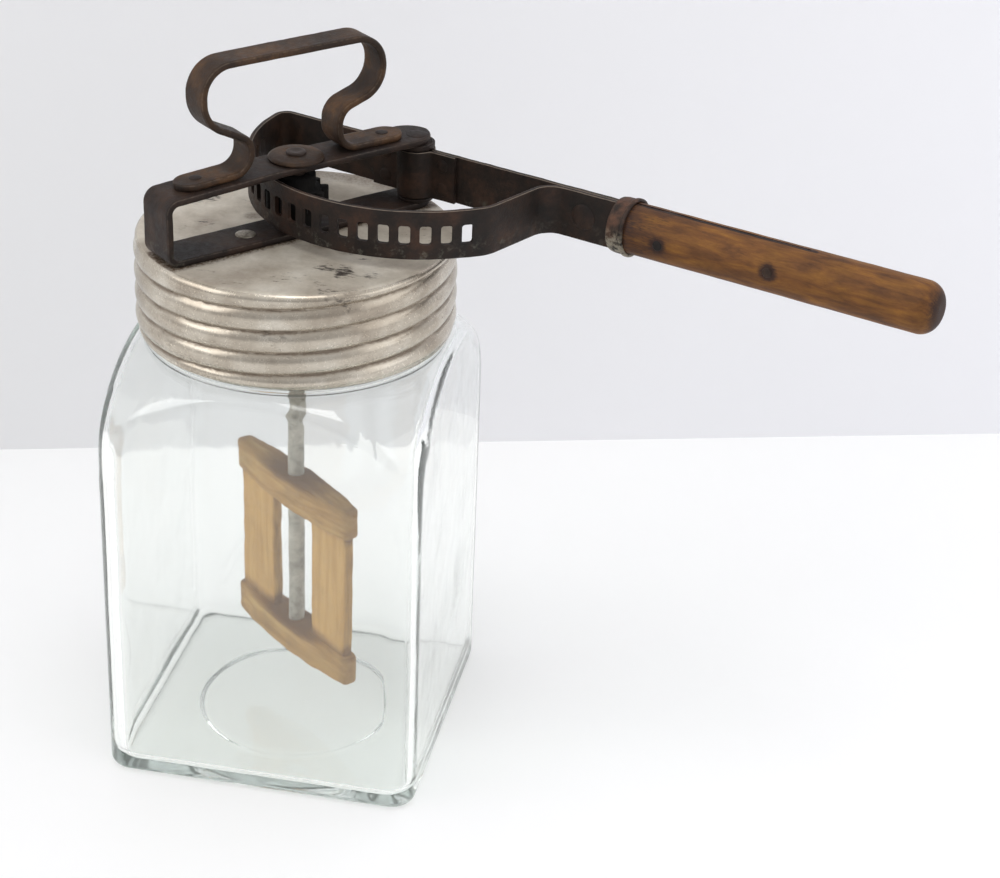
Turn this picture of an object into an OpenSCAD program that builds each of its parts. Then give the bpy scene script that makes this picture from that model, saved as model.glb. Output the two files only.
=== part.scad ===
// Glass jar butter churn: a square glass jar, a ribbed screw lid, and on the lid a swinging lever whose
// slotted arc turns a pinion, a rod and a wooden paddle. Millimetres, +Z up, origin under the jar's centre.

/* [Jar] */
// Side of the square jar
jar_side = 141.3; // [125:0.1:160]
// Radius of the jar's upright corners
jar_corner_r = 11; // [7:0.5:18]
// Rounding of the jar's lower edge
heel_r = 5; // [3:0.5:6]
// Thickness of the glass
glass_t = 4.5; // [3:0.1:6]
// Thickness of the jar's floor at its rim
floor_t = 7; // [5.5:0.5:10]
// Radius of the hollow under the floor
hollow_r = 44.4; // [30:0.1:52]
// Height of the hollow under the floor
hollow_h = 2.5; // [1:0.1:3.5]
// Height at which the corners start to close in to the shoulder
shoulder_z = 160; // [140:1:170]
// Radius of the shoulder's bulge
shoulder_bulge_r = 50; // [44:1:90]
// Height at which the shoulder meets the neck
neck_z = 198; // [190:0.5:205]
// Height of the jar's rim
rim_z = 240; // [230:0.5:250]
// Radius of the half-round bead at the foot of the neck
bead_r = 1.6; // [1:0.1:1.8]

/* [Lid] */
// Radius over the lid's ribs
lid_r = 69; // [68:0.1:72]
// Thickness of the lid's sheet
lid_sheet = 1.1; // [0.8:0.1:1.5]
// Clearance between the glass neck and the lid's grooves, for the thread
neck_gap = 3.8; // [3:0.1:5]
// Depth of the grooves between the ribs
rib_depth = 1.6; // [0.8:0.1:1.8]
// Spacing of the skirt's ribs
rib_pitch = 10; // [9:0.1:11]
// Number of ribs below the top bead
rib_count = 3; // [2:1:3]
// Depth of the lid's skirt
skirt_h = 42.8; // [40:0.1:44]
// Thickness of the rubber seal
seal_t = 2; // [1:0.1:3]
// Reach of the seal beyond the glass neck
seal_reach = 2.1; // [1:0.1:2.5]
// Outer radius of the rod's bush
bush_r = 6.5; // [5:0.1:9]
// Thickness of the bush's flange
bush_flange_t = 2.5; // [1.5:0.1:4]

/* [Gear frame] */
// Direction of the frame, from the rod towards the pivot
frame_dir = 47.5; // [30:0.5:60]
// Width of the frame's strap
frame_w = 20.5; // [19:0.5:26]
// Thickness of the frame's strap
frame_t = 3; // [2:0.1:4]
// Inset of the upright's outer face from the lid's edge
frame_inset = 1.5; // [0:0.1:5]
// Reach of the round ends beyond the pivot
frame_end = 7.25; // [7:0.05:14]
// Sag of the bar at the upright
bar_sag = 2.5; // [0:0.1:3]
// Bend radius at the middle of the strap
frame_bend_r = 4.5; // [3:0.1:7]
// Place of the two frame rivets along the frame
frame_rivets_at = [-25, 27]; // [-40:0.5:40]
// Diameter of the rivet shanks
rivet_d = 4.8; // [3:0.1:5.5]

/* [Top grip] */
// Width of the grip's strap
grip_w = 14; // [12:0.5:19]
// Thickness of the grip's strap
grip_t = 3; // [2:0.1:4]
// Height of the grip's top above the bar
grip_h = 50.5; // [46:0.5:60]
// Reach of the two feet, from the rod along the frame
grip_feet = [-58, 52]; // [-60:0.5:56]
// Place of the two necks along the frame
grip_necks = [-25, 18]; // [-34:0.5:26]
// Place of the loop's two upright sides
grip_sides = [-47, 39.5]; // [-52:0.5:45]
// Height of the necks' upper bends above the bar
grip_neck_h = [14.5, 19]; // [12:0.5:22]
// Height at which the sides start, above the bar
grip_side_h = [25.5, 26]; // [24:0.5:32]
// Place of the grip's two rivets
grip_rivets_at = [-48.5, 43]; // [-52:0.5:46]

/* [Lever] */
// Direction of the lever's leg, from the pivot towards the handle
lever_dir = -20.8; // [-60:0.1:20]
// Direction of the pivot from the rod, against the frame
pivot_skew = -3; // [-4:0.1:0]
// Radius of the slotted arc at the middle of the strap
arc_r = 71.75; // [70:0.05:74]
// Height of the strap
strap_h = 21.5; // [18:0.5:21.5]
// Thickness of the strap
strap_t = 2; // [1.8:0.1:2.8]
// Slots that would fill a whole turn
slots_per_turn = 52; // [50:1:54]
// Number of slots in the arc
slot_count = 19; // [14:1:20]
// Width of a slot
slot_w = 4.9; // [4.6:0.05:5.2]
// Height of a slot
slot_h = 8.3; // [7:0.1:12]
// Direction of the last slot, from the leg
last_slot_at = 320.8; // [316:0.1:321.5]
// Direction at which the arc ends, from the leg
arc_end_at = 326; // [325:0.1:330]
// Direction of the straight from the arc to the handle, from the leg
return_dir = 81; // [66:0.5:84]
// Length of the short leg beside the long one
short_leg = 24.9; // [20:0.1:32]
// Distance from the short leg's bend to the rivet that joins the legs
root_rivet_in = 9.9; // [7:0.1:14]
// Diameter of the pivot post
post_d = 12.6; // [10:0.1:15]
// Diameter of the post's riveted ends
post_end_d = 8; // [6:0.1:9]
// Half-length of the saddle that closes round the post
saddle_reach = 21; // [19:0.5:24]
// Thickness of the lower washer on the post
low_washer_t = 1.7; // [1.2:0.1:3]
// Thickness of the upper washer on the post
top_washer_t = 2.3; // [0.8:0.1:4]

/* [Handle] */
// Diameter of the wooden handle
handle_d = 22; // [21.6:0.1:26]
// Length of the wooden handle
handle_len = 142.5; // [120:0.5:160]
// Length of the lever's tang inside the wood
tang_len = 85; // [79:0.5:110]
// Rounding of the wood's outer end
handle_round = 8; // [4:0.5:10]
// Distance that the ferrule stands out past the wood's inner end
ferrule_over = 2; // [0.5:0.1:4]
// Length of the ferrule
ferrule_len = 8; // [8:0.5:12]
// Thickness of the ferrule
ferrule_t = 0.9; // [0.7:0.1:1.4]
// Distance of the two handle rivets from the wood's inner end
handle_rivets_in = [22, 72]; // [14:0.5:76]
// Height of the two handle rivets above the middle of the strap
handle_rivets_up = [0, 1.5]; // [-3:0.5:3]

/* [Dasher] */
// Diameter of the dasher's rod
rod_d = 7.3; // [6:0.1:9]
// Teeth on the pinion
teeth = 9; // [8:1:10]
// Radius of the pinion's hub
hub_r = 8.3; // [7:0.1:8.5]
// Diameter of the washer on the bar
top_disc_d = 24; // [16:0.5:26]
// Thickness of the washer on the bar
top_disc_t = 2; // [1.2:0.1:3]
// Direction of the paddle
paddle_dir = -40; // [-90:0.5:90]
// Length of the paddle's rails
rail_len = 87; // [86:0.5:100]
// Height of the rails
rail_h = 15; // [13:0.5:18]
// Thickness of the rails at the rod
rail_mid_t = 15.5; // [14:0.5:20]
// Thickness of the rails at their ends
rail_end_t = 7; // [6.5:0.5:10]
// Height of the lower rail's underside
low_rail_z = 35; // [25:0.5:45]
// Clear height between the rails
paddle_gap = 61; // [50:0.5:70]
// Width of a slat
slat_w = 25.5; // [22:0.5:27]
// Thickness of a slat
slat_t = 5; // [4:0.1:6]
// Distance from the rod to a slat
slat_from = 14.5; // [10:0.5:16]
// Length of the slats' tenons
tenon_h = 6; // [4:0.5:8]
// Diameter of the cross pins
pin_d = 3; // [2:0.1:3.5]

/* [Clearances] */
// Radial clearance of a turning shaft
run_gap = 0.06; // [0.03:0.01:0.09]
// Radial clearance of a fixed pin or rivet
fit_gap = 0.05; // [0.02:0.01:0.1]
// Clearance between faces that pass each other
face_gap = 0.3; // [0.2:0.05:0.5]
// Clearance between the seal and what it seats on
seal_gap = 0.2; // [0.1:0.05:0.3]

/* [Hidden] */
$fn = 96;
arc_step = 9;
over = 1;
// Levels of the lid and the frame
lid_in = rim_z + seal_t + 2 * seal_gap;
lid_top = lid_in + lid_sheet;
lid_low = lid_top - skirt_h;
plate_top = lid_top + frame_t;
strap_z = plate_top + low_washer_t + face_gap;
strap_top = strap_z + strap_h;
strap_mid = strap_z + strap_h / 2;
bar_low = strap_top + face_gap + top_washer_t;
bar_top = bar_low + frame_t;
frame_left = lid_r - frame_inset;
// The bar is level over the rod and sags from there to the upright
sag_from = top_disc_d / 2 + 3;
sag_a = atan(bar_sag / (frame_left - frame_t / 2 - sag_from));
// Radius of the glass neck under the lid
neck_r = lid_r - rib_depth - lid_sheet - neck_gap;
// Corner reach and the arc of the shoulder
corner_reach = (jar_side / 2 - jar_corner_r) * sqrt(2) + jar_corner_r;
shoulder_a = [corner_reach, shoulder_z];
shoulder_b = [neck_r, neck_z];
shoulder_chord = shoulder_b - shoulder_a;
shoulder_out = [shoulder_chord[1], -shoulder_chord[0]] / norm(shoulder_chord);
shoulder_sink = sqrt(pow(shoulder_bulge_r, 2) - pow(norm(shoulder_chord) / 2, 2));
shoulder_c = (shoulder_a + shoulder_b) / 2 - shoulder_out * shoulder_sink;
neck_in_r = neck_r - glass_t;
// Lid profile
rib_half = 0.48 * rib_pitch;
rib_first = 5.1;
top_bead = skirt_h - 6.1;
rib_levels = concat([for (i = [0 : rib_count - 1]) rib_first + i * rib_pitch], [top_bead]);
rib_step = 1.6;
lid_round = 3.5;
bush_flange = 4.5;
// Rivet heads and other small sizes of the frame and the lever
sag_bend_r = 30;
frame_head_d = 9;
frame_head_h = 1.6;
frame_tail_h = 1.5;
grip_head_d = 5.8;
grip_head_h = 0.6;
post_head_d = 9.6;
post_head_h = 0.5;
small_rivet_d = 3.6;
small_head_d = 6;
root_head_d = 11.5;
lever_head_h = 1.1;
lever_tail_h = 0.9;
head_sink = 0.2;
washer_wall = 1.8;
// Gear: the pinion rolls inside the slotted arc
pitch_r = arc_r * teeth / slots_per_turn;
pivot_dist = arc_r - pitch_r;
pivot_dir = frame_dir + pivot_skew;
gear_ratio = slots_per_turn / teeth;
pivot_at = pivot_dist * [cos(pivot_dir), sin(pivot_dir)];
frame_right = pivot_dist * cos(pivot_skew) + frame_end;
slot_step = 360 / slots_per_turn;
mesh_at = pivot_dir + 180 - lever_dir;
pinion_turn = (last_slot_at - mesh_at) * gear_ratio + pivot_dir + 180;
root_clear = 0.8;
tip_stand = 0.25;
tooth_play = 0.85;
tip_bevel = 0.7;
tip_draft = 0.2;
tooth_root_r = pitch_r - strap_t / 2 - root_clear;
tooth_tip_r = pitch_r + strap_t / 2 + tip_stand;
tooth_half = slot_w / 2 - tooth_play;
tip_half = tooth_half - tip_bevel;
tooth_h = slot_h - 1;
hub_low = plate_top + face_gap;
hub_top = strap_top - 1;
// Lever outline, in the lever's own frame with the leg along X
long_y = strap_t / 2;
root_gap = 0.15;
ferrule_gap = 0.5;
short_y = -strap_t / 2 - root_gap;
corner_r = 5;
end_r = 15;
root_r = 10;
corner_c = [-sqrt(pow(arc_r - corner_r, 2) - pow(long_y - corner_r, 2)), long_y - corner_r];
arc_start_at = 360 + atan2(corner_c[1], corner_c[0]);
end_turn = return_dir + 270 - arc_end_at;
end_c = (arc_r - end_r) * [cos(arc_end_at), sin(arc_end_at)];
end_p = end_c + end_r * [cos(arc_end_at + end_turn), sin(arc_end_at + end_turn)];
root_touch_y = short_y - root_r + root_r * cos(return_dir);
root_touch_x = end_p[0] + (root_touch_y - end_p[1]) / tan(return_dir);
root_c = [root_touch_x + root_r * sin(return_dir), short_y - root_r];
root_rivet_at = root_c[0] + root_rivet_in;
short_leg_end = root_c[0] + short_leg;
ferrule_from = short_leg_end + ferrule_gap;
handle_from = ferrule_from + ferrule_over;
handle_to = handle_from + handle_len;
long_leg_end = handle_from + tang_len;
handle_rivets_at = [for (i = [0, 1]) [handle_from + handle_rivets_in[i], strap_h / 2 + handle_rivets_up[i]]];
post_bore_r = post_d / 2 + run_gap;
hump_r = post_bore_r + strap_t;
saddle_rivet_x = (hump_r + saddle_reach) / 2;
saddle_rivet_dz = strap_h / 4;
handle_r = handle_d / 2;
saw_gap = 0.1;
ferrule_in_r = handle_r + fit_gap;
// Rod and paddle levels
washer_z = bar_top + face_gap;
rod_cover = 3;
rod_end_z = low_rail_z + rod_cover;
top_rail_z = low_rail_z + rail_h + paddle_gap;
bush_low = lid_in - bush_flange_t;
collar_h = 8;
collar_r = 8;
collar_z = bush_low - face_gap - collar_h;
rail_sag = (rail_mid_t - rail_end_t) / 2;
rail_arc_r = (pow(rail_len / 2, 2) + pow(rail_sag, 2)) / (2 * rail_sag);
pinion_pin_z = (hub_low + strap_mid - tooth_h / 2) / 2;
rail_pin_zs = [low_rail_z + rail_h / 2, top_rail_z + rail_h / 2];

// Stations of a path are [point, left normal] pairs, and a band is a strip of even thickness along them.
function unit(v) = v / norm(v);
function left_of(d) = [-d[1], d[0]];
function arc_stations(c, r, from, to) =
    let (side = to > from ? -1 : 1, n = max(2, ceil(abs(to - from) / arc_step)))
    [for (i = [0 : n]) let (a = from + (to - from) * i / n, d = [cos(a), sin(a)]) [c + r * d, side * d]];
function bend_stations(p, q, s, r) =
    let (
        d = unit(q - p),
        e = unit(s - q),
        turn = atan2(d[0] * e[1] - d[1] * e[0], d * e),
        start = q - d * r * tan(abs(turn) / 2),
        c = start + left_of(d) * sign(turn) * r,
        from = atan2(start[1] - c[1], start[0] - c[0])
    )
    arc_stations(c, r, from, from + turn);
function path_stations(pts, radii) =
    let (last = len(pts) - 1)
    concat(
        [[pts[0], left_of(unit(pts[1] - pts[0]))]],
        [for (i = [1 : last - 1]) each bend_stations(pts[i - 1], pts[i], pts[i + 1], radii[i - 1])],
        [[pts[last], left_of(unit(pts[last] - pts[last - 1]))]]
    );
function band(st, t) = concat(
    [for (s = st) s[0] + s[1] * t / 2],
    [for (i = [len(st) - 1 : -1 : 0]) st[i][0] - st[i][1] * t / 2]
);
function arc_points(c, r, from, to, n) = [
    for (i = [0 : n]) c + r * [cos(from + (to - from) * i / n), sin(from + (to - from) * i / n)]
];
// Drop of the bar's top face at x along the frame
function bar_drop(x) =
    x < -sag_from ? (x + sag_from) * tan(sag_a) + (frame_t / 2) * (1 / cos(sag_a) - 1) : 0;
// Height of the rib's wave above the groove at a level of the skirt, from 0 to 1
function rib_wave(level) = max([
    for (c = rib_levels) abs(level - c) < rib_half ? (1 + cos(180 * (level - c) / rib_half)) / 2 : 0
]);
function skirt_r(level) = lid_r - rib_depth * (1 - rib_wave(level));

// Outline of a rounded square
module round_square(side, r) {
    square([side, side - 2 * r], center = true);
    square([side - 2 * r, side], center = true);
    for (x = [-1, 1], y = [-1, 1])
        translate([x, y] * (side / 2 - r))
            circle(r);
}

// Upright outline with its two lower corners rounded
module heel_outline(side, r, high) {
    translate([-side / 2, r])
        square([side, high - r]);
    translate([r - side / 2, 0])
        square([side - 2 * r, high]);
    for (s = [-1, 1])
        translate([s * (side / 2 - r), r])
            circle(r);
}

// The shoulder's revolved outline, drawn in by the wall's thickness and rounded at its foot
module shoulder_turned(wall, base, top, foot_r) {
    r = shoulder_bulge_r - wall;
    wide = corner_reach + wall;
    low_a = acos((corner_reach - shoulder_c[0]) / shoulder_bulge_r);
    top_a = acos((neck_r - wall - shoulder_c[0]) / r);
    rotate_extrude()
        polygon(concat(
            [[0, base]],
            arc_points([wide - foot_r, base + foot_r], foot_r, 270, 360, 6),
            [[wide, shoulder_c[1] + r * sin(low_a) - wall]],
            arc_points(shoulder_c, r, low_a, top_a, 8),
            [[neck_r - wall, top], [0, top]]
        ));
}

module glass_jar() {
    color("#dfe9e6", 0.45)
        difference() {
            union() {
                intersection() {
                    linear_extrude(rim_z)
                        round_square(jar_side, jar_corner_r);
                    for (a = [0, 90])
                        rotate([90, 0, a])
                            linear_extrude(2 * jar_side, center = true)
                                heel_outline(jar_side, heel_r, rim_z);
                    shoulder_turned(0, 0, rim_z, heel_r);
                }
                rotate_extrude()
                    translate([neck_r, neck_z + bead_r])
                        circle(bead_r, $fn = 24);
            }
            intersection() {
                translate([0, 0, floor_t])
                    linear_extrude(rim_z)
                        round_square(jar_side - 2 * glass_t, max(jar_corner_r - glass_t, 2));
                shoulder_turned(glass_t, floor_t, rim_z + over, heel_r);
            }
            translate([0, 0, -over])
                cylinder(r = hollow_r, h = hollow_h + over);
        }
}

module lid_seal() {
    color("#8c3b2c")
        translate([0, 0, rim_z + seal_gap])
            difference() {
                cylinder(r = neck_r + seal_reach, h = seal_t);
                translate([0, 0, -over])
                    cylinder(r = neck_in_r, h = seal_t + 2 * over);
            }
}

module screw_lid() {
    steps = floor((skirt_h - lid_round) / rib_step);
    levels = [for (i = [0 : steps]) i * (skirt_h - lid_round) / steps];
    top_r = skirt_r(skirt_h - lid_round) - lid_round;
    outside = concat(
        [for (l = levels) [skirt_r(l), lid_low + l]],
        [for (i = [1 : 4]) [top_r + lid_round * cos(22.5 * i), lid_top - lid_round + lid_round * sin(22.5 * i)]]
    );
    inner_round = lid_round - lid_sheet;
    inside = concat(
        [for (i = [4 : -1 : 1])
            [top_r + inner_round * cos(22.5 * i), lid_in - inner_round + inner_round * sin(22.5 * i)]],
        [for (i = [steps : -1 : 0]) [skirt_r(levels[i]) - lid_sheet, lid_low + levels[i]]]
    );
    color("#a9a69c")
        difference() {
            rotate_extrude()
                polygon(concat(outside, [[0, lid_top], [0, lid_in]], inside));
            translate([0, 0, lid_in - over])
                cylinder(r = bush_r + fit_gap, h = lid_sheet + 2 * over);
            rotate(frame_dir)
                for (x = frame_rivets_at)
                    translate([x, 0, lid_in - over])
                        cylinder(d = rivet_d + 2 * fit_gap, h = lid_sheet + 2 * over);
        }
}

module lid_bush() {
    color("#5b5a55")
        difference() {
            union() {
                translate([0, 0, bush_low])
                    cylinder(r = bush_r + bush_flange, h = bush_flange_t);
                translate([0, 0, bush_low])
                    cylinder(r = bush_r, h = lid_top - bush_low);
            }
            translate([0, 0, bush_low - over])
                cylinder(d = rod_d + 2 * run_gap, h = lid_top - bush_low + 2 * over);
        }
}

// Plan of the frame: a straight strap with one round end
module frame_plan() {
    translate([-frame_left - over, -frame_w / 2])
        square([frame_left + over + frame_right - frame_w / 2, frame_w]);
    translate([frame_right - frame_w / 2, 0])
        circle(d = frame_w);
}

// Strap on edge: a band drawn in the frame's upright plane, as wide as w
module upright_strap(st, t, w) {
    translate([0, w / 2, 0])
        rotate([90, 0, 0])
            linear_extrude(w)
                polygon(band(st, t));
}

// Places its children on the bar's top face at x, square to it
module on_bar(x) {
    sagging = x < -sag_from;
    translate([x, 0, bar_top + bar_drop(x)])
        rotate([0, sagging ? -sag_a : 0, 0])
            children();
}

module gear_frame() {
    x = frame_left - frame_t / 2;
    low = lid_top + frame_t / 2;
    high = bar_low + frame_t / 2;
    path = [[frame_right, low], [-x, low], [-x, high - bar_sag], [-sag_from, high], [frame_right, high]];
    radii = [frame_bend_r, frame_bend_r, sag_bend_r];
    color("#4b3a30")
        difference() {
            rotate(frame_dir)
                difference() {
                    intersection() {
                        upright_strap(path_stations(path, radii), frame_t, frame_w);
                        translate([0, 0, lid_top - over])
                            linear_extrude(bar_top - lid_top + 2 * over)
                                frame_plan();
                    }
                    for (r = frame_rivets_at)
                        translate([r, 0, lid_top - over])
                            cylinder(d = rivet_d + 2 * fit_gap, h = frame_t + 2 * over);
                    for (x = grip_rivets_at)
                        on_bar(x)
                            translate([0, 0, -frame_t - over])
                                cylinder(d = rivet_d + 2 * fit_gap, h = frame_t + 2 * over);
                }
            translate([0, 0, lid_top - over])
                cylinder(d = rod_d + 2 * run_gap, h = bar_top - lid_top + 2 * over);
            translate([pivot_at[0], pivot_at[1], lid_top - over])
                cylinder(d = post_end_d + 2 * fit_gap, h = bar_top - lid_top + 2 * over);
        }
}

// Rivet standing on z = 0: a low round head above, the shank below
module rivet(d, head_d, head_h, length) {
    ball_r = (pow(head_d / 2, 2) + pow(head_h, 2)) / (2 * head_h);
    intersection() {
        cylinder(d = head_d, h = head_h);
        translate([0, 0, head_h - ball_r])
            sphere(ball_r);
    }
    translate([0, 0, -length])
        cylinder(d = d, h = length + head_sink);
}

module frame_rivets() {
    color("#8d8a83")
        rotate(frame_dir)
            for (x = frame_rivets_at)
                translate([x, 0, 0]) {
                    translate([0, 0, plate_top])
                        rivet(rivet_d, frame_head_d, frame_head_h, plate_top - lid_in + head_sink);
                    translate([0, 0, lid_in - frame_tail_h])
                        cylinder(d = frame_head_d, h = frame_tail_h);
                }
}

module top_grip() {
    foot_z = bar_top + grip_t / 2;
    top_z = bar_top + grip_h - grip_t / 2;
    thick = (grip_t / 2) * (1 / cos(sag_a) - 1);
    low = [for (x = [grip_feet[0], grip_necks[0]]) [x, foot_z + bar_drop(x) + thick]];
    left = [low[0], low[1], [grip_necks[0], bar_top + grip_neck_h[0]],
        [grip_sides[0], bar_top + grip_side_h[0]], [grip_sides[0], top_z]];
    right = [[grip_sides[1], top_z], [grip_sides[1], bar_top + grip_side_h[1]],
        [grip_necks[1], bar_top + grip_neck_h[1]], [grip_necks[1], foot_z], [grip_feet[1], foot_z]];
    // Bend radii from foot to foot, each kept within a share of the straight run beside it
    bends = [9, 6, 15, 13, 13, 13, 8, 9];
    shares = [0.7, 0.46, 0.65, 0.56, 0.57, 0.58, 0.46, 0.52];
    neck_runs = [for (h = grip_neck_h) h - grip_t / 2];
    side_runs = [for (h = grip_side_h) grip_h - grip_t / 2 - h];
    runs = [for (v = [neck_runs[0], side_runs[0], side_runs[1], neck_runs[1]]) each [v, v]];
    radii = [for (i = [0 : len(bends) - 1]) min(bends[i], shares[i] * runs[i])];
    tip_x = grip_w / 2;
    color("#5a4334")
        rotate(frame_dir)
            difference() {
                intersection() {
                    upright_strap(path_stations(concat(left, right), radii), grip_t, grip_w);
                    translate([0, 0, bar_top - bar_sag - over])
                        linear_extrude(grip_h + bar_sag + 2 * over) {
                            translate([grip_feet[0] + tip_x, -grip_w / 2])
                                square([grip_feet[1] - grip_feet[0] - 2 * tip_x, grip_w]);
                            for (x = [grip_feet[0] + tip_x, grip_feet[1] - tip_x])
                                translate([x, 0])
                                    circle(d = grip_w);
                        }
                }
                for (x = grip_rivets_at)
                    on_bar(x)
                        translate([0, 0, -over])
                            cylinder(d = rivet_d + 2 * fit_gap, h = grip_t + 2 * over);
            }
}

module grip_rivets() {
    color("#4a3a30")
        rotate(frame_dir)
            for (x = grip_rivets_at)
                on_bar(x)
                    translate([0, 0, grip_t])
                        rivet(rivet_d, grip_head_d, grip_head_h, frame_t + grip_t);
}

module pivot_post() {
    color("#3c322b")
        translate([pivot_at[0], pivot_at[1], 0]) {
            translate([0, 0, plate_top])
                cylinder(d = post_d, h = bar_low - plate_top);
            translate([0, 0, lid_top])
                cylinder(d = post_end_d, h = bar_top - lid_top);
            translate([0, 0, bar_top])
                rivet(post_end_d, post_head_d, post_head_h, head_sink);
        }
}

module pivot_washers() {
    color("#4a4038")
        translate([pivot_at[0], pivot_at[1], 0])
            for (w = [[plate_top, low_washer_t], [bar_low - top_washer_t, top_washer_t]])
                translate([0, 0, w[0]])
                    difference() {
                        cylinder(r = post_d / 2 + fit_gap + washer_wall, h = w[1]);
                        translate([0, 0, -over])
                            cylinder(d = post_d + 2 * fit_gap, h = w[1] + 2 * over);
                    }
}

// Places its children in the lever's own frame, at the strap's lower edge
module on_lever() {
    translate([pivot_at[0], pivot_at[1], strap_z])
        rotate(lever_dir)
            children();
}

// Hole or shank across the lever, at x along the leg and z above the strap's lower edge
module across_lever(x, z, d, from, to) {
    translate([x, to, z])
        rotate([90, 0, 0])
            cylinder(d = d, h = to - from);
}

// Half of the barrel round the post: side 1 behind the leg, side -1 in front of it
module half_barrel(side) {
    intersection() {
        cylinder(r = hump_r, h = strap_h);
        translate([-hump_r - over, side > 0 ? 0 : -hump_r - over, -over])
            cube([2 * (hump_r + over), hump_r + over, strap_h + 2 * over]);
    }
}

module slot_cut() {
    r = 1.2;
    rotate([90, 0, 90])
        linear_extrude(4 * strap_t, center = true) {
            square([slot_w, slot_h - 2 * r], center = true);
            square([slot_w - 2 * r, slot_h], center = true);
            for (x = [-1, 1], z = [-1, 1])
                translate([x * (slot_w / 2 - r), z * (slot_h / 2 - r)])
                    circle(r, $fn = 24);
        }
}

module lever_strap() {
    stations = concat(
        [[[long_leg_end, long_y], [0, -1]]],
        arc_stations(corner_c, corner_r, 90, arc_start_at - 0.001),
        arc_stations([0, 0], arc_r, arc_start_at, arc_end_at - 0.001),
        arc_stations(end_c, end_r, arc_end_at, arc_end_at + end_turn),
        arc_stations(root_c, root_r, return_dir + 90, 90),
        [[[short_leg_end, short_y], [0, 1]]]
    );
    color("#46382f")
        on_lever()
            difference() {
                union() {
                    linear_extrude(strap_h)
                        polygon(band(stations, strap_t));
                    half_barrel(1);
                }
                translate([0, 0, -over])
                    cylinder(r = post_bore_r, h = strap_h + 2 * over);
                for (i = [0 : slot_count - 1])
                    rotate(last_slot_at - i * slot_step)
                        translate([arc_r, 0, strap_h / 2])
                            slot_cut();
                for (x = [-saddle_rivet_x, saddle_rivet_x], dz = [-saddle_rivet_dz, saddle_rivet_dz])
                    across_lever(x, strap_h / 2 + dz, small_rivet_d + 2 * fit_gap, -over / 10, strap_t + over);
                across_lever(root_rivet_at, strap_h / 2, rivet_d + 2 * fit_gap, -strap_t - over, strap_t + over);
                for (p = handle_rivets_at)
                    across_lever(p[0], p[1], rivet_d + 2 * fit_gap, -over, strap_t + over);
            }
}

module pivot_saddle() {
    color("#3d322b")
        on_lever()
            difference() {
                union() {
                    translate([-saddle_reach, -strap_t, 0])
                        cube([2 * saddle_reach, strap_t, strap_h]);
                    half_barrel(-1);
                }
                translate([0, 0, -over])
                    cylinder(r = post_bore_r, h = strap_h + 2 * over);
                for (x = [-saddle_rivet_x, saddle_rivet_x], dz = [-saddle_rivet_dz, saddle_rivet_dz])
                    across_lever(x, strap_h / 2 + dz, small_rivet_d + 2 * fit_gap, -strap_t - over, over);
            }
}

// Rivet across the lever with a round head on the front and a flat one behind
module lever_rivet(x, z, d, head_d, front, back) {
    translate([x, front, z])
        rotate([90, 0, 0])
            rivet(d, head_d, lever_head_h, back - front);
    across_lever(x, z, head_d, back, back + lever_tail_h);
}

module saddle_rivets() {
    color("#54463b")
        on_lever()
            for (x = [-saddle_rivet_x, saddle_rivet_x], dz = [-saddle_rivet_dz, saddle_rivet_dz])
                lever_rivet(x, strap_h / 2 + dz, small_rivet_d, small_head_d, -strap_t, strap_t);
}

module root_rivet() {
    color("#54463b")
        on_lever()
            lever_rivet(root_rivet_at, strap_h / 2, rivet_d, root_head_d, short_y - strap_t / 2, strap_t);
}

// Places its children on the handle's axis, with their Z along the lever's leg
module on_handle() {
    on_lever()
        translate([0, long_y, strap_h / 2])
            rotate([0, 90, 0])
                children();
}

module ferrule() {
    r = ferrule_in_r + ferrule_t;
    lip = 2;
    lip_h = 0.6;
    lead = 0.4;
    to = ferrule_from + ferrule_len;
    color("#5d4a3c")
        on_handle()
            rotate_extrude()
                polygon([
                    [ferrule_in_r, ferrule_from], [r - lead, ferrule_from], [r, ferrule_from + lip],
                    [r, to - lip], [r + lip_h, to - lip], [r + lip_h, to], [ferrule_in_r, to]
                ]);
}

module wood_handle() {
    color("#a06a3c")
        difference() {
            on_handle()
                rotate_extrude()
                    polygon(concat(
                        [[0, handle_from], [handle_r, handle_from]],
                        arc_points([handle_r - handle_round, handle_to - handle_round], handle_round, 0, 90, 8),
                        [[0, handle_to]]
                    ));
            on_lever() {
                translate([0, -saw_gap, -handle_d])
                    cube([long_leg_end + saw_gap, strap_t + 2 * saw_gap, 3 * handle_d]);
                for (p = handle_rivets_at)
                    across_lever(p[0], p[1], rivet_d + 2 * fit_gap, -handle_d, handle_d);
            }
        }
}

module handle_rivets() {
    stand = 0.4;
    half = handle_r + stand;
    color("#3f352e")
        on_lever()
            for (p = handle_rivets_at)
                across_lever(p[0], p[1], rivet_d, long_y - half, long_y + half);
}

module dasher_rod() {
    head_h = 1.2;
    head_d = rod_d + 1.4;
    color("#9a9c9a")
        difference() {
            union() {
                translate([0, 0, rod_end_z])
                    cylinder(d = rod_d, h = washer_z + top_disc_t - rod_end_z);
                translate([0, 0, washer_z + top_disc_t])
                    rivet(rod_d, head_d, head_h, head_sink);
            }
            rotate(paddle_dir) {
                for (z = rail_pin_zs)
                    pin_hole(z, rail_mid_t);
                pin_hole(collar_z + collar_h / 2, 2 * collar_r);
                pin_hole(pinion_pin_z, 2 * hub_r);
            }
        }
}

// Cross hole for a pin, square to the paddle
module pin_hole(z, length) {
    translate([0, length / 2 + over, z])
        rotate([90, 0, 0])
            cylinder(d = pin_d + 2 * fit_gap, h = length + 2 * over);
}

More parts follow.
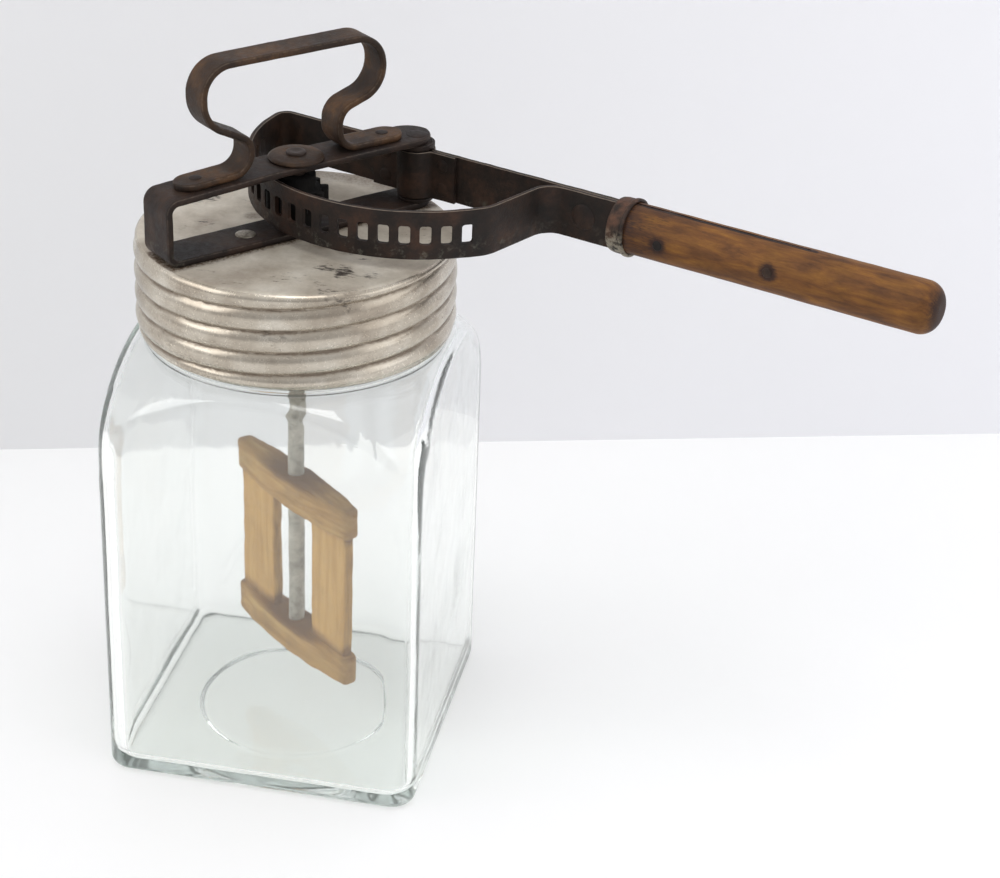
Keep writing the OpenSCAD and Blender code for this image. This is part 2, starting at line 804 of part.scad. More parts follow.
module tooth() {
    polygon([
        [0, -tooth_half], [pitch_r, -tooth_half],
        [tooth_tip_r - tip_bevel, tip_draft - tooth_half], [tooth_tip_r, -tip_half],
        [tooth_tip_r, tip_half], [tooth_tip_r - tip_bevel, tooth_half - tip_draft],
        [pitch_r, tooth_half], [0, tooth_half]
    ]);
}

module pinion() {
    color("#4f4a44")
        difference() {
            union() {
                translate([0, 0, hub_low])
                    cylinder(r = hub_r, h = hub_top - hub_low);
                rotate(pinion_turn)
                    translate([0, 0, strap_mid - tooth_h / 2])
                        linear_extrude(tooth_h) {
                            circle(tooth_root_r);
                            for (i = [0 : teeth - 1])
                                rotate(360 / teeth * i)
                                    tooth();
                        }
            }
            translate([0, 0, hub_low - over])
                cylinder(d = rod_d + 2 * fit_gap, h = hub_top - hub_low + 2 * over);
            rotate(paddle_dir)
                pin_hole(pinion_pin_z, 2 * hub_r);
        }
}

module rod_pins() {
    sink = 0.5;
    color("#77706a")
        rotate(paddle_dir)
            for (p = [[pinion_pin_z, hub_r], [collar_z + collar_h / 2, collar_r], [rail_pin_zs[0], rail_mid_t / 2],
                    [rail_pin_zs[1], rail_mid_t / 2]])
                translate([0, p[1] - sink, p[0]])
                    rotate([90, 0, 0])
                        cylinder(d = pin_d, h = 2 * (p[1] - sink));
}

module top_disc() {
    color("#5a483b")
        translate([0, 0, washer_z])
            difference() {
                cylinder(d = top_disc_d, h = top_disc_t);
                translate([0, 0, -over])
                    cylinder(d = rod_d + 2 * fit_gap, h = top_disc_t + 2 * over);
            }
}

module thrust_collar() {
    color("#6e6a63")
        translate([0, 0, collar_z])
            difference() {
                cylinder(r = collar_r, h = collar_h);
                translate([0, 0, -over])
                    cylinder(d = rod_d + 2 * fit_gap, h = collar_h + 2 * over);
                translate([0, 0, collar_h / 2])
                    rotate(paddle_dir)
                        pin_hole(0, 2 * collar_r);
            }
}

// Boat-shaped rail with its mortises, drawn with its underside on z = 0
module rail(mortise_z, bore_from) {
    difference() {
        linear_extrude(rail_h)
            intersection() {
                for (s = [-1, 1])
                    translate([0, s * (rail_arc_r - rail_mid_t / 2)])
                        circle(rail_arc_r, $fn = 360);
                square([rail_len, rail_mid_t], center = true);
            }
        for (s = [-1, 1])
            translate([s * (slat_from + slat_w / 2) - slat_w / 2 - fit_gap, -slat_t / 2 - fit_gap, mortise_z])
                cube([slat_w + 2 * fit_gap, slat_t + 2 * fit_gap, tenon_h + over]);
        translate([0, 0, bore_from])
            cylinder(d = rod_d + 2 * fit_gap, h = rail_h + over - bore_from);
        pin_hole(rail_h / 2, rail_mid_t);
    }
}

module top_rail() {
    color("#c9a878")
        translate([0, 0, top_rail_z])
            rotate(paddle_dir)
                rail(-over, -over);
}

module bottom_rail() {
    color("#c4a06f")
        translate([0, 0, low_rail_z])
            rotate(paddle_dir)
                rail(rail_h - tenon_h, rod_end_z - low_rail_z);
}

// Slat between the rails: side -1 is the far one, side 1 the near one
module slat(side) {
    z = low_rail_z + rail_h - tenon_h;
    rotate(paddle_dir)
        translate([side * (slat_from + slat_w / 2) - slat_w / 2, -slat_t / 2, z + fit_gap])
            cube([slat_w, slat_t, paddle_gap + 2 * tenon_h - 2 * fit_gap]);
}

module left_slat() {
    color("#cfae7c")
        slat(-1);
}

module right_slat() {
    color("#cbaa79")
        slat(1);
}

glass_jar();
lid_seal();
screw_lid();
lid_bush();
gear_frame();
frame_rivets();
top_grip();
grip_rivets();
pivot_post();
pivot_washers();
lever_strap();
pivot_saddle();
saddle_rivets();
root_rivet();
ferrule();
wood_handle();
handle_rivets();
dasher_rod();
pinion();
rod_pins();
top_disc();
thrust_collar();
top_rail();
bottom_rail();
left_slat();
right_slat();
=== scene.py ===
import bpy
import bmesh
import math
from math import cos, degrees, hypot, pi, radians, sin
from mathutils import Matrix, Vector, noise


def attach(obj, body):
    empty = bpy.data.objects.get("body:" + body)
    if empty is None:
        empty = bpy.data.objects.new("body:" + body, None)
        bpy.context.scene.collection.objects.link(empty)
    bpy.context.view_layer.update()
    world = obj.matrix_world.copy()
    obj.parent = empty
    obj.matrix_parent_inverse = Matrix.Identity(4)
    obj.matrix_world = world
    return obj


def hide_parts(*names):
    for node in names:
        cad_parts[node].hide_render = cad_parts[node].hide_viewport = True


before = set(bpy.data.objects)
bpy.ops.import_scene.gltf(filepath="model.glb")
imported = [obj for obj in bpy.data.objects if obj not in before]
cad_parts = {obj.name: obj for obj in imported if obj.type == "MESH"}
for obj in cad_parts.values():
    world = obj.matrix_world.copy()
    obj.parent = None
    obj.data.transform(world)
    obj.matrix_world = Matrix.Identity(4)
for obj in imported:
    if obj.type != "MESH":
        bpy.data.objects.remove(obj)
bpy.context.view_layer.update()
scene = bpy.context.scene
scene.view_settings.view_transform = "Standard"
glassBounces = {"max_bounces": 24, "glossy_bounces": 16, "transmission_bounces": 20}  # thick glass needs many
for key, value in glassBounces.items():
    setattr(scene.cycles, key, value)
print("frame loaded,", len(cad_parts), "nodes")

mm = 0.001  # sizes are in millimetres in the part's own frame, and meshes are made in metres


def hexLinear(code):
    parts = [int(code[i:i + 2], 16) / 255 for i in (1, 3, 5)]
    return tuple(c / 12.92 if c <= 0.04045 else ((c + 0.055) / 1.055) ** 2.4 for c in parts) + (1.0,)


def perMm(size):
    return 1.0 / (size * mm)  # texture scale that gives features of this size


def wire(tree, node, links):
    # each socket takes a link, or a plain value; a node stands for its first output in use
    for key, value in links.items():
        if isinstance(value, bpy.types.Node):
            value = next(socket for socket in value.outputs if socket.enabled)
        if isinstance(value, bpy.types.NodeSocket):
            tree.links.new(value, node.inputs[key])
        else:
            node.inputs[key].default_value = value


def add(tree, kind, links=None, stops=(), **settings):
    # stops are a ramp's (place, hex colour or grey level)
    node = tree.nodes.new(kind)
    for key, value in settings.items():
        setattr(node, key, value)
    wire(tree, node, links or {})
    for i, (place, colour) in enumerate(stops):
        marks = node.color_ramp.elements
        stop = marks[i] if i < len(marks) else marks.new(1.0)
        stop.position = place
        stop.color = hexLinear(colour) if isinstance(colour, str) else (colour, colour, colour, 1.0)
    return node


# finishes

def emptyFinish(name):
    mat = bpy.data.materials.new(name)
    mat.use_nodes = True
    mat.node_tree.nodes.clear()
    return mat, mat.node_tree


def newFinish(name):
    mat, tree = emptyFinish(name)
    surface = add(tree, "ShaderNodeBsdfPrincipled")
    add(tree, "ShaderNodeOutputMaterial", {"Surface": surface})
    where = add(tree, "ShaderNodeTexCoord").outputs["Object"]
    return mat, tree, surface, where


glassLook = {"ripple": 26, "depth": 0.05, "body": "#f5f6f5", "tint": "#aacfbf", "density": 3.5,
             "clear": 0.975, "polish": 0.04, "ior": 1.5, "shadow": "#f4f7f5"}


def sodaLimeGlass(look):
    # pressed soda-lime glass: clear, grey-green where the eye looks along a wall, a film of old milk
    mat, tree, surface, where = newFinish("pressed soda-lime glass")
    ripple = add(tree, "ShaderNodeTexNoise", {"Vector": where, "Scale": perMm(look["ripple"]), "Detail": 2.0})
    bump = add(tree, "ShaderNodeBump", {"Height": ripple, "Strength": look["depth"], "Distance": 0.002})
    wire(tree, surface, {"Base Color": hexLinear(look["body"]), "Roughness": look["polish"],
                         "IOR": look["ior"], "Transmission Weight": look["clear"], "Normal": bump})
    # light on its way to the floor goes straight through, so the jar's shadow is a pale one
    straightOn = add(tree, "ShaderNodeBsdfTransparent", {"Color": hexLinear(look["shadow"])})
    toLamp = add(tree, "ShaderNodeLightPath").outputs["Is Shadow Ray"]
    both = add(tree, "ShaderNodeMixShader", {0: toLamp, 1: surface, 2: straightOn})
    soak = add(tree, "ShaderNodeVolumeAbsorption",
               {"Color": hexLinear(look["tint"]), "Density": look["density"]})
    wire(tree, tree.get_output_node("ALL"), {"Surface": both, "Volume": soak})
    return mat


strapLook = {"patch": 14, "mottle": 2.4, "pit": 0.6, "tones": ("#1b1512", "#2a1f19", "#3f2b20"),
             "toneAt": (0.34, 0.5, 0.66), "shades": (0.55, 1.0), "shadeAt": (0.32, 0.62), "bare": "#94877a",
             "bareMetal": 0.9, "pale": "#807e70", "crustSize": 5.0, "crustFrom": 0.54, "crustOver": 0.16,
             "rubBreak": 0.4, "rubFrom": 0.98, "rubTo": 1.38, "smooth": 0.48, "coarse": 0.7, "metal": 0.12,
             "gloss": 0.3, "bump": 0.3}
ironLook = dict(strapLook, patch=18, tones=("#1c1512", "#271c17", "#3c2b21"), rubFrom=1.15, rubTo=1.75)
gripLook = dict(strapLook, patch=20, tones=("#291d15", "#3d2b1d", "#5c4129"), rubFrom=1.15, rubTo=1.75)
ferruleLook = dict(strapLook, patch=6, tones=("#1b1512", "#3d2d24", "#5e4030"), pale="#8f8878", crustSize=3.0,
                   crustFrom=0.42)
# painted shade: the pinion's tones are near black and its surface matte, so that it sits dark as in deep
# shade
shadedPinionLook = dict(strapLook, tones=("#0c0a09", "#110e0c", "#17110f"), rubFrom=1.4, rubTo=1.8, smooth=0.8,
                  coarse=0.95)


def rustySteel(name, look):
    # rolled mild steel strap, long oxidised: brown-black skin with rust bloom, edges rubbed to bare metal
    # the pits are drawn as coarse as they need to show
    mat, tree, surface, where = newFinish(name)
    patch = add(tree, "ShaderNodeTexNoise",
                {"Vector": where, "Scale": perMm(look["patch"]), "Detail": 6.0, "Roughness": 0.62})
    mottle = add(tree, "ShaderNodeTexNoise",
                 {"Vector": where, "Scale": perMm(look["mottle"]), "Detail": 8.0, "Roughness": 0.65})
    pits = add(tree, "ShaderNodeTexNoise", {"Vector": where, "Scale": perMm(look["pit"]), "Detail": 4.0})
    skin = add(tree, "ShaderNodeValToRGB", {"Fac": patch}, zip(look["toneAt"], look["tones"]))
    shade = add(tree, "ShaderNodeValToRGB", {"Fac": mottle}, zip(look["shadeAt"], look["shades"]))
    skin = add(tree, "ShaderNodeMix", {0: 1.0, 6: skin, 7: shade}, data_type="RGBA", blend_type="MULTIPLY")
    # rubbed edges come from the piece's own wear mark, broken up a little by the mottle
    wear = add(tree, "ShaderNodeAttribute", attribute_name="wear").outputs["Fac"]
    rub = add(tree, "ShaderNodeMath", {0: mottle, 1: look["rubBreak"], 2: wear}, operation="MULTIPLY_ADD")
    rub = add(tree, "ShaderNodeMapRange",
              {"Value": rub, "From Min": look["rubFrom"], "From Max": look["rubTo"]})
    skin = add(tree, "ShaderNodeMix", {0: rub, 6: skin, 7: hexLinear(look["bare"])}, data_type="RGBA")
    # pale crust of old corrosion
    crust = add(tree, "ShaderNodeAttribute", attribute_name="crust").outputs["Fac"]
    salt = add(tree, "ShaderNodeTexNoise",
               {"Vector": where, "Scale": perMm(look["crustSize"]), "Detail": 5.0, "Roughness": 0.7})
    salt = add(tree, "ShaderNodeMapRange", {"Value": salt, "From Min": look["crustFrom"],
                                            "From Max": look["crustFrom"] + look["crustOver"]})
    salt = add(tree, "ShaderNodeMath", {0: salt, 1: crust}, operation="MULTIPLY")
    skin = add(tree, "ShaderNodeMix", {0: salt, 6: skin, 7: hexLinear(look["pale"])}, data_type="RGBA")
    rough = add(tree, "ShaderNodeMapRange", {"Value": mottle, "From Min": 0.3, "From Max": 0.7,
                                             "To Min": look["smooth"], "To Max": look["coarse"]})
    metal = add(tree, "ShaderNodeMapRange",
                {"Value": rub, "To Min": look["metal"], "To Max": look["bareMetal"]})
    height = add(tree, "ShaderNodeMath", {0: pits, 1: mottle}, operation="ADD")
    bump = add(tree, "ShaderNodeBump", {"Height": height, "Strength": look["bump"], "Distance": 0.0004})
    wire(tree, surface, {"Base Color": skin, "Roughness": rough, "Metallic": metal, "Normal": bump,
                         "Specular IOR Level": look["gloss"]})
    return mat


rivetLook = {"stain": 3, "fine": 0.5, "tones": ("#5d5348", "#8f887c", "#b3ada2"),
             "toneAt": (0.36, 0.52, 0.68), "smooth": 0.35, "coarse": 0.55, "metal": 0.8, "bump": 0.3}
rodLook = dict(rivetLook, stain=6, fine=0.8, tones=("#958f83", "#b9b2a5", "#cbc5b8"), rust="#33261f",
               rustSpan=(241.0, 244.0), smooth=0.45, coarse=0.65, metal=0.3, bump=0.35)
plainLook = dict(rivetLook, stain=5, fine=0.6, tones=("#4c453d", "#6e675e", "#8b857b"), smooth=0.4,
                 coarse=0.6, metal=0.7)


def greySteel(name, look):
    # bright steel gone dull: grey with fine pitting, drawn coarse enough to show, and a few brown stains
    mat, tree, surface, where = newFinish(name)
    stain = add(tree, "ShaderNodeTexNoise",
                {"Vector": where, "Scale": perMm(look["stain"]), "Detail": 6.0, "Roughness": 0.65})
    fine = add(tree, "ShaderNodeTexNoise", {"Vector": where, "Scale": perMm(look["fine"]), "Detail": 3.0})
    skin = add(tree, "ShaderNodeValToRGB", {"Fac": stain}, zip(look["toneAt"], look["tones"]))
    if "rust" in look:  # the part out in the weather
        high = add(tree, "ShaderNodeSeparateXYZ", {0: where}).outputs["Z"]
        low, top = look["rustSpan"]
        high = add(tree, "ShaderNodeMapRange", {"Value": high, "From Min": low * mm, "From Max": top * mm})
        skin = add(tree, "ShaderNodeMix", {0: high, 6: skin, 7: hexLinear(look["rust"])}, data_type="RGBA")
    rough = add(tree, "ShaderNodeMapRange",
                {"Value": fine, "To Min": look["smooth"], "To Max": look["coarse"]})
    bump = add(tree, "ShaderNodeBump", {"Height": fine, "Strength": look["bump"], "Distance": 0.0002})
    wire(tree, surface, {"Base Color": skin, "Roughness": rough, "Normal": bump, "Metallic": look["metal"]})
    return mat


zincLook = {"cloud": 24, "fine": 1.3, "tones": ("#a69b8c", "#c0b7a8", "#d4cdc0"), "toneAt": (0.35, 0.52, 0.7),
            "scuff": 0.88, "grime": "#58432c", "grimeSpan": (0.14, 0.4), "grimeAmount": 0.78,
            # the rust colour and span also paint the stain mark's shadow and dark reflection
            "plateTurn": 47.5, "plateHalf": 10.3, "runOut": 6.0, "rust": "#574433", "rustSpan": (0.26, 0.55),
            "stainAndShadeGain": 0.45, "stainAndShadeLeast": 0.2, "topSpan": (243.0, 243.25), "spot": 1.6, "spotLong": 0.4,
            "spotCloud": 22, "spotFrom": 0.36, "spotOver": 0.08, "skirtSpots": 0.7, "sootLift": 0.18,
            "black": "#332b25", "metal": 0.72, "dirtMetal": 0.15, "topMetal": 0.35, "smooth": 0.14,
            "coarse": 0.36, "topRough": 0.28, "bump": 0.1}


def dullZinc(look):
    # zinc sheet, spun and never polished since: warm grey, grime in the grooves, black spotting on the top
    mat, tree, surface, where = newFinish("weathered zinc sheet")
    cloud = add(tree, "ShaderNodeTexNoise",
                {"Vector": where, "Scale": perMm(look["cloud"]), "Detail": 6.0, "Roughness": 0.6})
    fine = add(tree, "ShaderNodeTexNoise",
               {"Vector": where, "Scale": perMm(look["fine"]), "Detail": 6.0, "Roughness": 0.7})
    skin = add(tree, "ShaderNodeValToRGB", {"Fac": cloud}, zip(look["toneAt"], look["tones"]))
    scuff = add(tree, "ShaderNodeMapRange",
                {"Value": fine, "From Min": 0.3, "From Max": 0.6, "To Min": look["scuff"]})
    skin = add(tree, "ShaderNodeMix", {0: 1.0, 6: skin, 7: scuff}, data_type="RGBA", blend_type="MULTIPLY")
    # grime where the piece's groove mark is high, more of it in some places than in others
    groove = add(tree, "ShaderNodeAttribute", attribute_name="groove").outputs["Fac"]
    grime = add(tree, "ShaderNodeMath", {0: groove, 1: fine}, operation="MULTIPLY")
    patchy = add(tree, "ShaderNodeMath", {0: cloud, 1: 4.0, 2: -1.0}, operation="MULTIPLY_ADD")
    grime = add(tree, "ShaderNodeMath", {0: grime, 1: patchy}, operation="MULTIPLY")
    low, top = look["grimeSpan"]
    grime = add(tree, "ShaderNodeMapRange",
                {"Value": grime, "From Min": low, "From Max": top, "To Max": look["grimeAmount"]})
    skin = add(tree, "ShaderNodeMix", {0: grime, 6: skin, 7: hexLinear(look["grime"])}, data_type="RGBA")
    # rust that ran out from under the frame's plate, which lies along X once turned back
    along = add(tree, "ShaderNodeMapping", {"Vector": where, "Rotation": (0, 0, radians(-look["plateTurn"]))})
    along = add(tree, "ShaderNodeSeparateXYZ", {0: along}).outputs["Y"]
    aside = add(tree, "ShaderNodeMath", {0: along}, operation="ABSOLUTE")
    rustAndShade = add(tree, "ShaderNodeMapRange",
               {"Value": aside, "From Min": look["plateHalf"] * mm,
                "From Max": (look["plateHalf"] + look["runOut"]) * mm, "To Min": 1.0, "To Max": 0.0})
    rustAndShade = add(tree, "ShaderNodeMath", {0: rustAndShade, 1: fine}, operation="MULTIPLY")
    # painted shade in the rust colour where the piece's stain mark is high: a painted shadow along the
    # lever's arc, a painted dark reflection along the rear rim, and one small dark patch
    stain = add(tree, "ShaderNodeAttribute", attribute_name="stain").outputs["Fac"]
    ran = add(tree, "ShaderNodeMath", {0: fine, 1: look["stainAndShadeGain"], 2: look["stainAndShadeLeast"]},
              operation="MULTIPLY_ADD")
    ran = add(tree, "ShaderNodeMath", {0: stain, 1: ran}, operation="MULTIPLY")
    rustAndShade = add(tree, "ShaderNodeMath", {0: rustAndShade, 1: ran}, operation="MAXIMUM")
    # from here the real rust from the plate and the painted shadow and reflection go together
    low, top = look["rustSpan"]
    rustAndShade = add(tree, "ShaderNodeMapRange", {"Value": rustAndShade, "From Min": low, "From Max": top})
    height = add(tree, "ShaderNodeSeparateXYZ", {0: where}).outputs["Z"]
    low, top = look["topSpan"]
    onTop = add(tree, "ShaderNodeMapRange", {"Value": height, "From Min": low * mm, "From Max": top * mm})
    rustAndShade = add(tree, "ShaderNodeMath", {0: rustAndShade, 1: onTop}, operation="MULTIPLY")
    skin = add(tree, "ShaderNodeMix", {0: rustAndShade, 6: skin, 7: hexLinear(look["rust"])}, data_type="RGBA")
    # black spots, drawn out along X, thinned out by a cloud and thick where the piece's soot mark is high
    drawn = add(tree, "ShaderNodeMapping", {"Vector": where, "Scale": (look["spotLong"], 1, 1)})
    spots = add(tree, "ShaderNodeTexNoise",
                {"Vector": drawn, "Scale": perMm(look["spot"]), "Detail": 5.0, "Roughness": 0.7})
    thin = add(tree, "ShaderNodeTexNoise",
               {"Vector": where, "Scale": perMm(look["spotCloud"]), "Detail": 2.0})
    spots = add(tree, "ShaderNodeMath", {0: spots, 1: thin}, operation="MULTIPLY")
    soot = add(tree, "ShaderNodeAttribute", attribute_name="soot").outputs["Fac"]
    spots = add(tree, "ShaderNodeMath", {0: soot, 1: look["sootLift"], 2: spots}, operation="MULTIPLY_ADD")
    spots = add(tree, "ShaderNodeMapRange", {"Value": spots, "From Min": look["spotFrom"],
                                             "From Max": look["spotFrom"] + look["spotOver"]})
    most = add(tree, "ShaderNodeMapRange", {"Value": onTop, "To Min": look["skirtSpots"]})
    spots = add(tree, "ShaderNodeMath", {0: spots, 1: most}, operation="MULTIPLY")
    skin = add(tree, "ShaderNodeMix", {0: spots, 6: skin, 7: hexLinear(look["black"])}, data_type="RGBA")
    # dirt is no metal, and the top is duller than the skirt
    dirt = add(tree, "ShaderNodeMath", {0: grime, 1: spots}, operation="MAXIMUM")
    metal = add(tree, "ShaderNodeMapRange",
                {"Value": dirt, "To Min": look["metal"], "To Max": look["dirtMetal"]})
    dull = add(tree, "ShaderNodeMapRange", {"Value": onTop, "To Min": 1.0, "To Max": look["topMetal"]})
    metal = add(tree, "ShaderNodeMath", {0: metal, 1: dull}, operation="MULTIPLY")
    rough = add(tree, "ShaderNodeMapRange",
                {"Value": fine, "To Min": look["smooth"], "To Max": look["coarse"]})
    rough = add(tree, "ShaderNodeMath", {0: onTop, 1: look["topRough"], 2: rough}, operation="MULTIPLY_ADD")
    bump = add(tree, "ShaderNodeBump", {"Height": fine, "Strength": look["bump"], "Distance": 0.0004})
    wire(tree, surface, {"Base Color": skin, "Metallic": metal, "Roughness": rough, "Normal": bump})
    return mat


handleLook = {"turn": 20.8, "stretch": (0.18, 1, 1), "grain": 3.4, "pore": 0.5, "stain": 13,
              "tones": ("#59381e", "#704721", "#8d5e26"), "toneAt": (0.34, 0.48, 0.68), "poreShade": 0.88,
              "poreAt": (0.3, 0.5), "stainShade": 0.74, "stainAt": (0.35, 0.6), "dirt": "#2c1913",
              "dirtSpan": (1.15, 1.7), "dirtAmount": 0.95, "smooth": 0.52, "coarse": 0.72, "gloss": 0.3,
              "bump": 0.2}
slatLook = dict(handleLook, turn=40, stretch=(1, 1, 0.06), grain=3.0, pore=0.6, stain=16,
                tones=("#cfa058", "#d8a964", "#e0b672"), stainShade=0.88, dirt="#74502b", dirtAmount=0.9,
                smooth=0.6, coarse=0.8)
railLook = dict(slatLook, stretch=(0.06, 1, 1), tones=("#b08442", "#c69958", "#d6ae6b"), stainShade=0.74)


def oiledWood(name, look):
    # hardwood: long dark grain lines along the piece, dirt worked into the hollows, pores as fine streaks
    # the pores are drawn coarser than real ones, so that they show
    mat, tree, surface, where = newFinish(name)
    aligned = add(tree, "ShaderNodeMapping", {"Vector": where, "Rotation": (0, 0, radians(look["turn"]))})
    drawn = add(tree, "ShaderNodeMapping", {"Vector": aligned, "Scale": look["stretch"]})
    grain = add(tree, "ShaderNodeTexNoise", {"Vector": drawn, "Scale": perMm(look["grain"]), "Detail": 6.0,
                                             "Roughness": 0.6, "Distortion": 0.4})
    pores = add(tree, "ShaderNodeTexNoise",
                {"Vector": drawn, "Scale": perMm(look["pore"]), "Detail": 3.0, "Roughness": 0.6})
    stain = add(tree, "ShaderNodeTexNoise",
                {"Vector": where, "Scale": perMm(look["stain"]), "Detail": 4.0, "Roughness": 0.6})
    skin = add(tree, "ShaderNodeValToRGB", {"Fac": grain}, zip(look["toneAt"], look["tones"]))
    for pattern, places, shade in ((pores, "poreAt", "poreShade"), (stain, "stainAt", "stainShade")):
        tone = add(tree, "ShaderNodeValToRGB", {"Fac": pattern}, zip(look[places], (look[shade], 1.0)))
        skin = add(tree, "ShaderNodeMix", {0: 1.0, 6: skin, 7: tone}, data_type="RGBA", blend_type="MULTIPLY")
    # dirt where the piece's dirt mark is high, broken up by stains and pores
    mud = add(tree, "ShaderNodeAttribute", attribute_name="dirt").outputs["Fac"]
    mud = add(tree, "ShaderNodeMath", {0: mud, 1: stain}, operation="ADD")
    mud = add(tree, "ShaderNodeMath", {0: mud, 1: pores}, operation="ADD")
    low, top = look["dirtSpan"]
    mud = add(tree, "ShaderNodeMapRange",
              {"Value": mud, "From Min": low, "From Max": top, "To Max": look["dirtAmount"]})
    skin = add(tree, "ShaderNodeMix", {0: mud, 6: skin, 7: hexLinear(look["dirt"])}, data_type="RGBA")
    rough = add(tree, "ShaderNodeMapRange",
                {"Value": pores, "To Min": look["coarse"], "To Max": look["smooth"]})
    height = add(tree, "ShaderNodeMath", {0: grain, 1: pores}, operation="ADD")
    bump = add(tree, "ShaderNodeBump", {"Height": height, "Strength": look["bump"], "Distance": 0.0004})
    wire(tree, surface, {"Base Color": skin, "Roughness": rough, "Normal": bump,
                         "Specular IOR Level": look["gloss"]})
    return mat


rubberLook = {"bloom": 4, "tones": ("#5d2b22", "#84402f", "#9a5a46"), "toneAt": (0.35, 0.55, 0.7),
              "rough": 0.75, "bump": 0.2}


def agedRubber(look):
    # natural rubber ring, oxidised to a dull brown-red with a fine bloom
    mat, tree, surface, where = newFinish("aged rubber")
    bloom = add(tree, "ShaderNodeTexNoise", {"Vector": where, "Scale": perMm(look["bloom"]), "Detail": 6.0})
    skin = add(tree, "ShaderNodeValToRGB", {"Fac": bloom}, zip(look["toneAt"], look["tones"]))
    bump = add(tree, "ShaderNodeBump", {"Height": bloom, "Strength": look["bump"], "Distance": 0.0004})
    wire(tree, surface, {"Base Color": skin, "Normal": bump, "Roughness": look["rough"]})
    return mat


glassMat = sodaLimeGlass(glassLook)
strapMat = rustySteel("oxidised lever strap", strapLook)
ironMat = rustySteel("rusted frame iron", ironLook)
gripMat = rustySteel("rusted grip iron", gripLook)
ferruleMat = rustySteel("rusted ferrule sheet", ferruleLook)
shadedPinionMat = rustySteel("greasy pinion iron", shadedPinionLook)
rivetMat = greySteel("dull rivet steel", rivetLook)
rodMat = greySteel("galvanised rod steel", rodLook)
plainMat = greySteel("plain turned steel", plainLook)
zincMat = dullZinc(zincLook)
handleMat = oiledWood("worn beech handle", handleLook)
slatMat = oiledWood("scrubbed maple slat", slatLook)
railMat = oiledWood("scrubbed maple rail", railLook)
rubberMat = agedRubber(rubberLook)
print("finishes made,", len(bpy.data.materials))


# mesh tools

def placed(name, mesh):
    obj = bpy.data.objects.new(name, mesh)
    scene.collection.objects.link(obj)
    return obj


def polar(reach, turn, z):
    return (reach * cos(turn), reach * sin(turn), z)


def fade(value, start, over):
    return max(0.0, 1 - (value - start) / over)  # 1 at the start, and nothing that far past it


def ramp(value, over):
    return max(0.0, min(1.0, value / over))


def solidFromRows(name, rows, marks=None):
    # rows are rings of points, a row of one point is a pole, and open end rings are capped
    verts, faces, first = [], [], []
    for row in rows:
        first.append(len(verts))
        verts.extend(row)
    for k, (row, upper) in enumerate(zip(rows, rows[1:])):
        count = max(len(row), len(upper))
        here, there = first[k], first[k + 1]
        for i in range(count):
            j = (i + 1) % count
            if len(row) == 1:
                faces.append((here, there + j, there + i))
            elif len(upper) == 1:
                faces.append((here + i, here + j, there))
            else:
                faces.append((here + i, here + j, there + j, there + i))
    if len(rows[0]) > 1:
        faces.append(tuple(reversed(range(len(rows[0])))))
    if len(rows[-1]) > 1:
        faces.append(tuple(range(first[-1], first[-1] + len(rows[-1]))))
    mesh = bpy.data.meshes.new(name)
    mesh.from_pydata([Vector(v) * mm for v in verts], [], faces)
    for key, values in (marks or {}).items():
        mark = mesh.attributes.new(key, "FLOAT", "POINT")
        mark.data.foreach_set("value", [v for row in values for v in row])
    bm = bmesh.new()
    bm.from_mesh(mesh)
    insideOut = bm.calc_volume(signed=True) < 0
    bm.free()
    if insideOut:
        mesh.flip_normals()
    return placed(name, mesh)


def turned(name, profile, place, steps=72, wobble=0.0):
    # profile is (radius, height) pairs, and place(x, y, z) puts a point in the part's frame
    rows = []
    for radius, z in profile:
        row = []
        for i in range(steps if radius > 0 else 1):
            turn = 2 * pi * i / steps
            push = wobble * noise.noise(Vector(polar(radius, turn, z)) / 7) if radius > 0 else 0
            row.append(place(*polar(radius + push, turn, z)))
        rows.append(row)
    return solidFromRows(name, rows)


def roundedRing(profile, corner, steps=3):
    # closed profile of (radius, height) corners with every corner rounded
    out = []
    for i, tip in enumerate(profile):
        sides = (profile[i - 1], profile[(i + 1) % len(profile)])
        lengths = [math.dist(tip, side) for side in sides]
        cut = min(corner, 0.45 * min(lengths))
        start, stop = [[tip[k] + (side[k] - tip[k]) * cut / length for k in (0, 1)]
                       for side, length in zip(sides, lengths)]
        for t in (step / steps for step in range(steps + 1)):
            out.append(tuple((1 - t) ** 2 * start[k] + 2 * t * (1 - t) * tip[k] + t * t * stop[k]
                             for k in (0, 1)))
    return out


def ringSolid(name, profile, place, steps, corner):
    # like turned, for a profile that closes on itself without touching the axis
    loop = roundedRing(profile, corner)
    obj = turned(name, loop + loop[:1], place, steps)
    bm = bmesh.new()
    bm.from_mesh(obj.data)
    bmesh.ops.delete(bm, geom=[f for f in bm.faces if len(f.verts) > 4], context="FACES_ONLY")
    bmesh.ops.remove_doubles(bm, verts=bm.verts, dist=1e-7)
    bmesh.ops.recalc_face_normals(bm, faces=bm.faces)
    bm.to_mesh(obj.data)
    bm.free()
    return obj


def band(name, size, place, steps):
    section = [(size[side], size[level]) for side, level in
               (("inside", "low"), ("outside", "low"), ("outside", "high"), ("inside", "high"))]
    return ringSolid(name, section, place, steps, size["corner"])


# a path is a list of points with their directions, as (x, y, along x, along y)

def straight(start, stop, step=1.0):
    count = max(1, math.ceil(math.dist(start, stop) / step))
    way = (Vector(stop) - Vector(start)).normalized()
    return [(start[0] + (stop[0] - start[0]) * i / count, start[1] + (stop[1] - start[1]) * i / count, *way)
            for i in range(count + 1)]


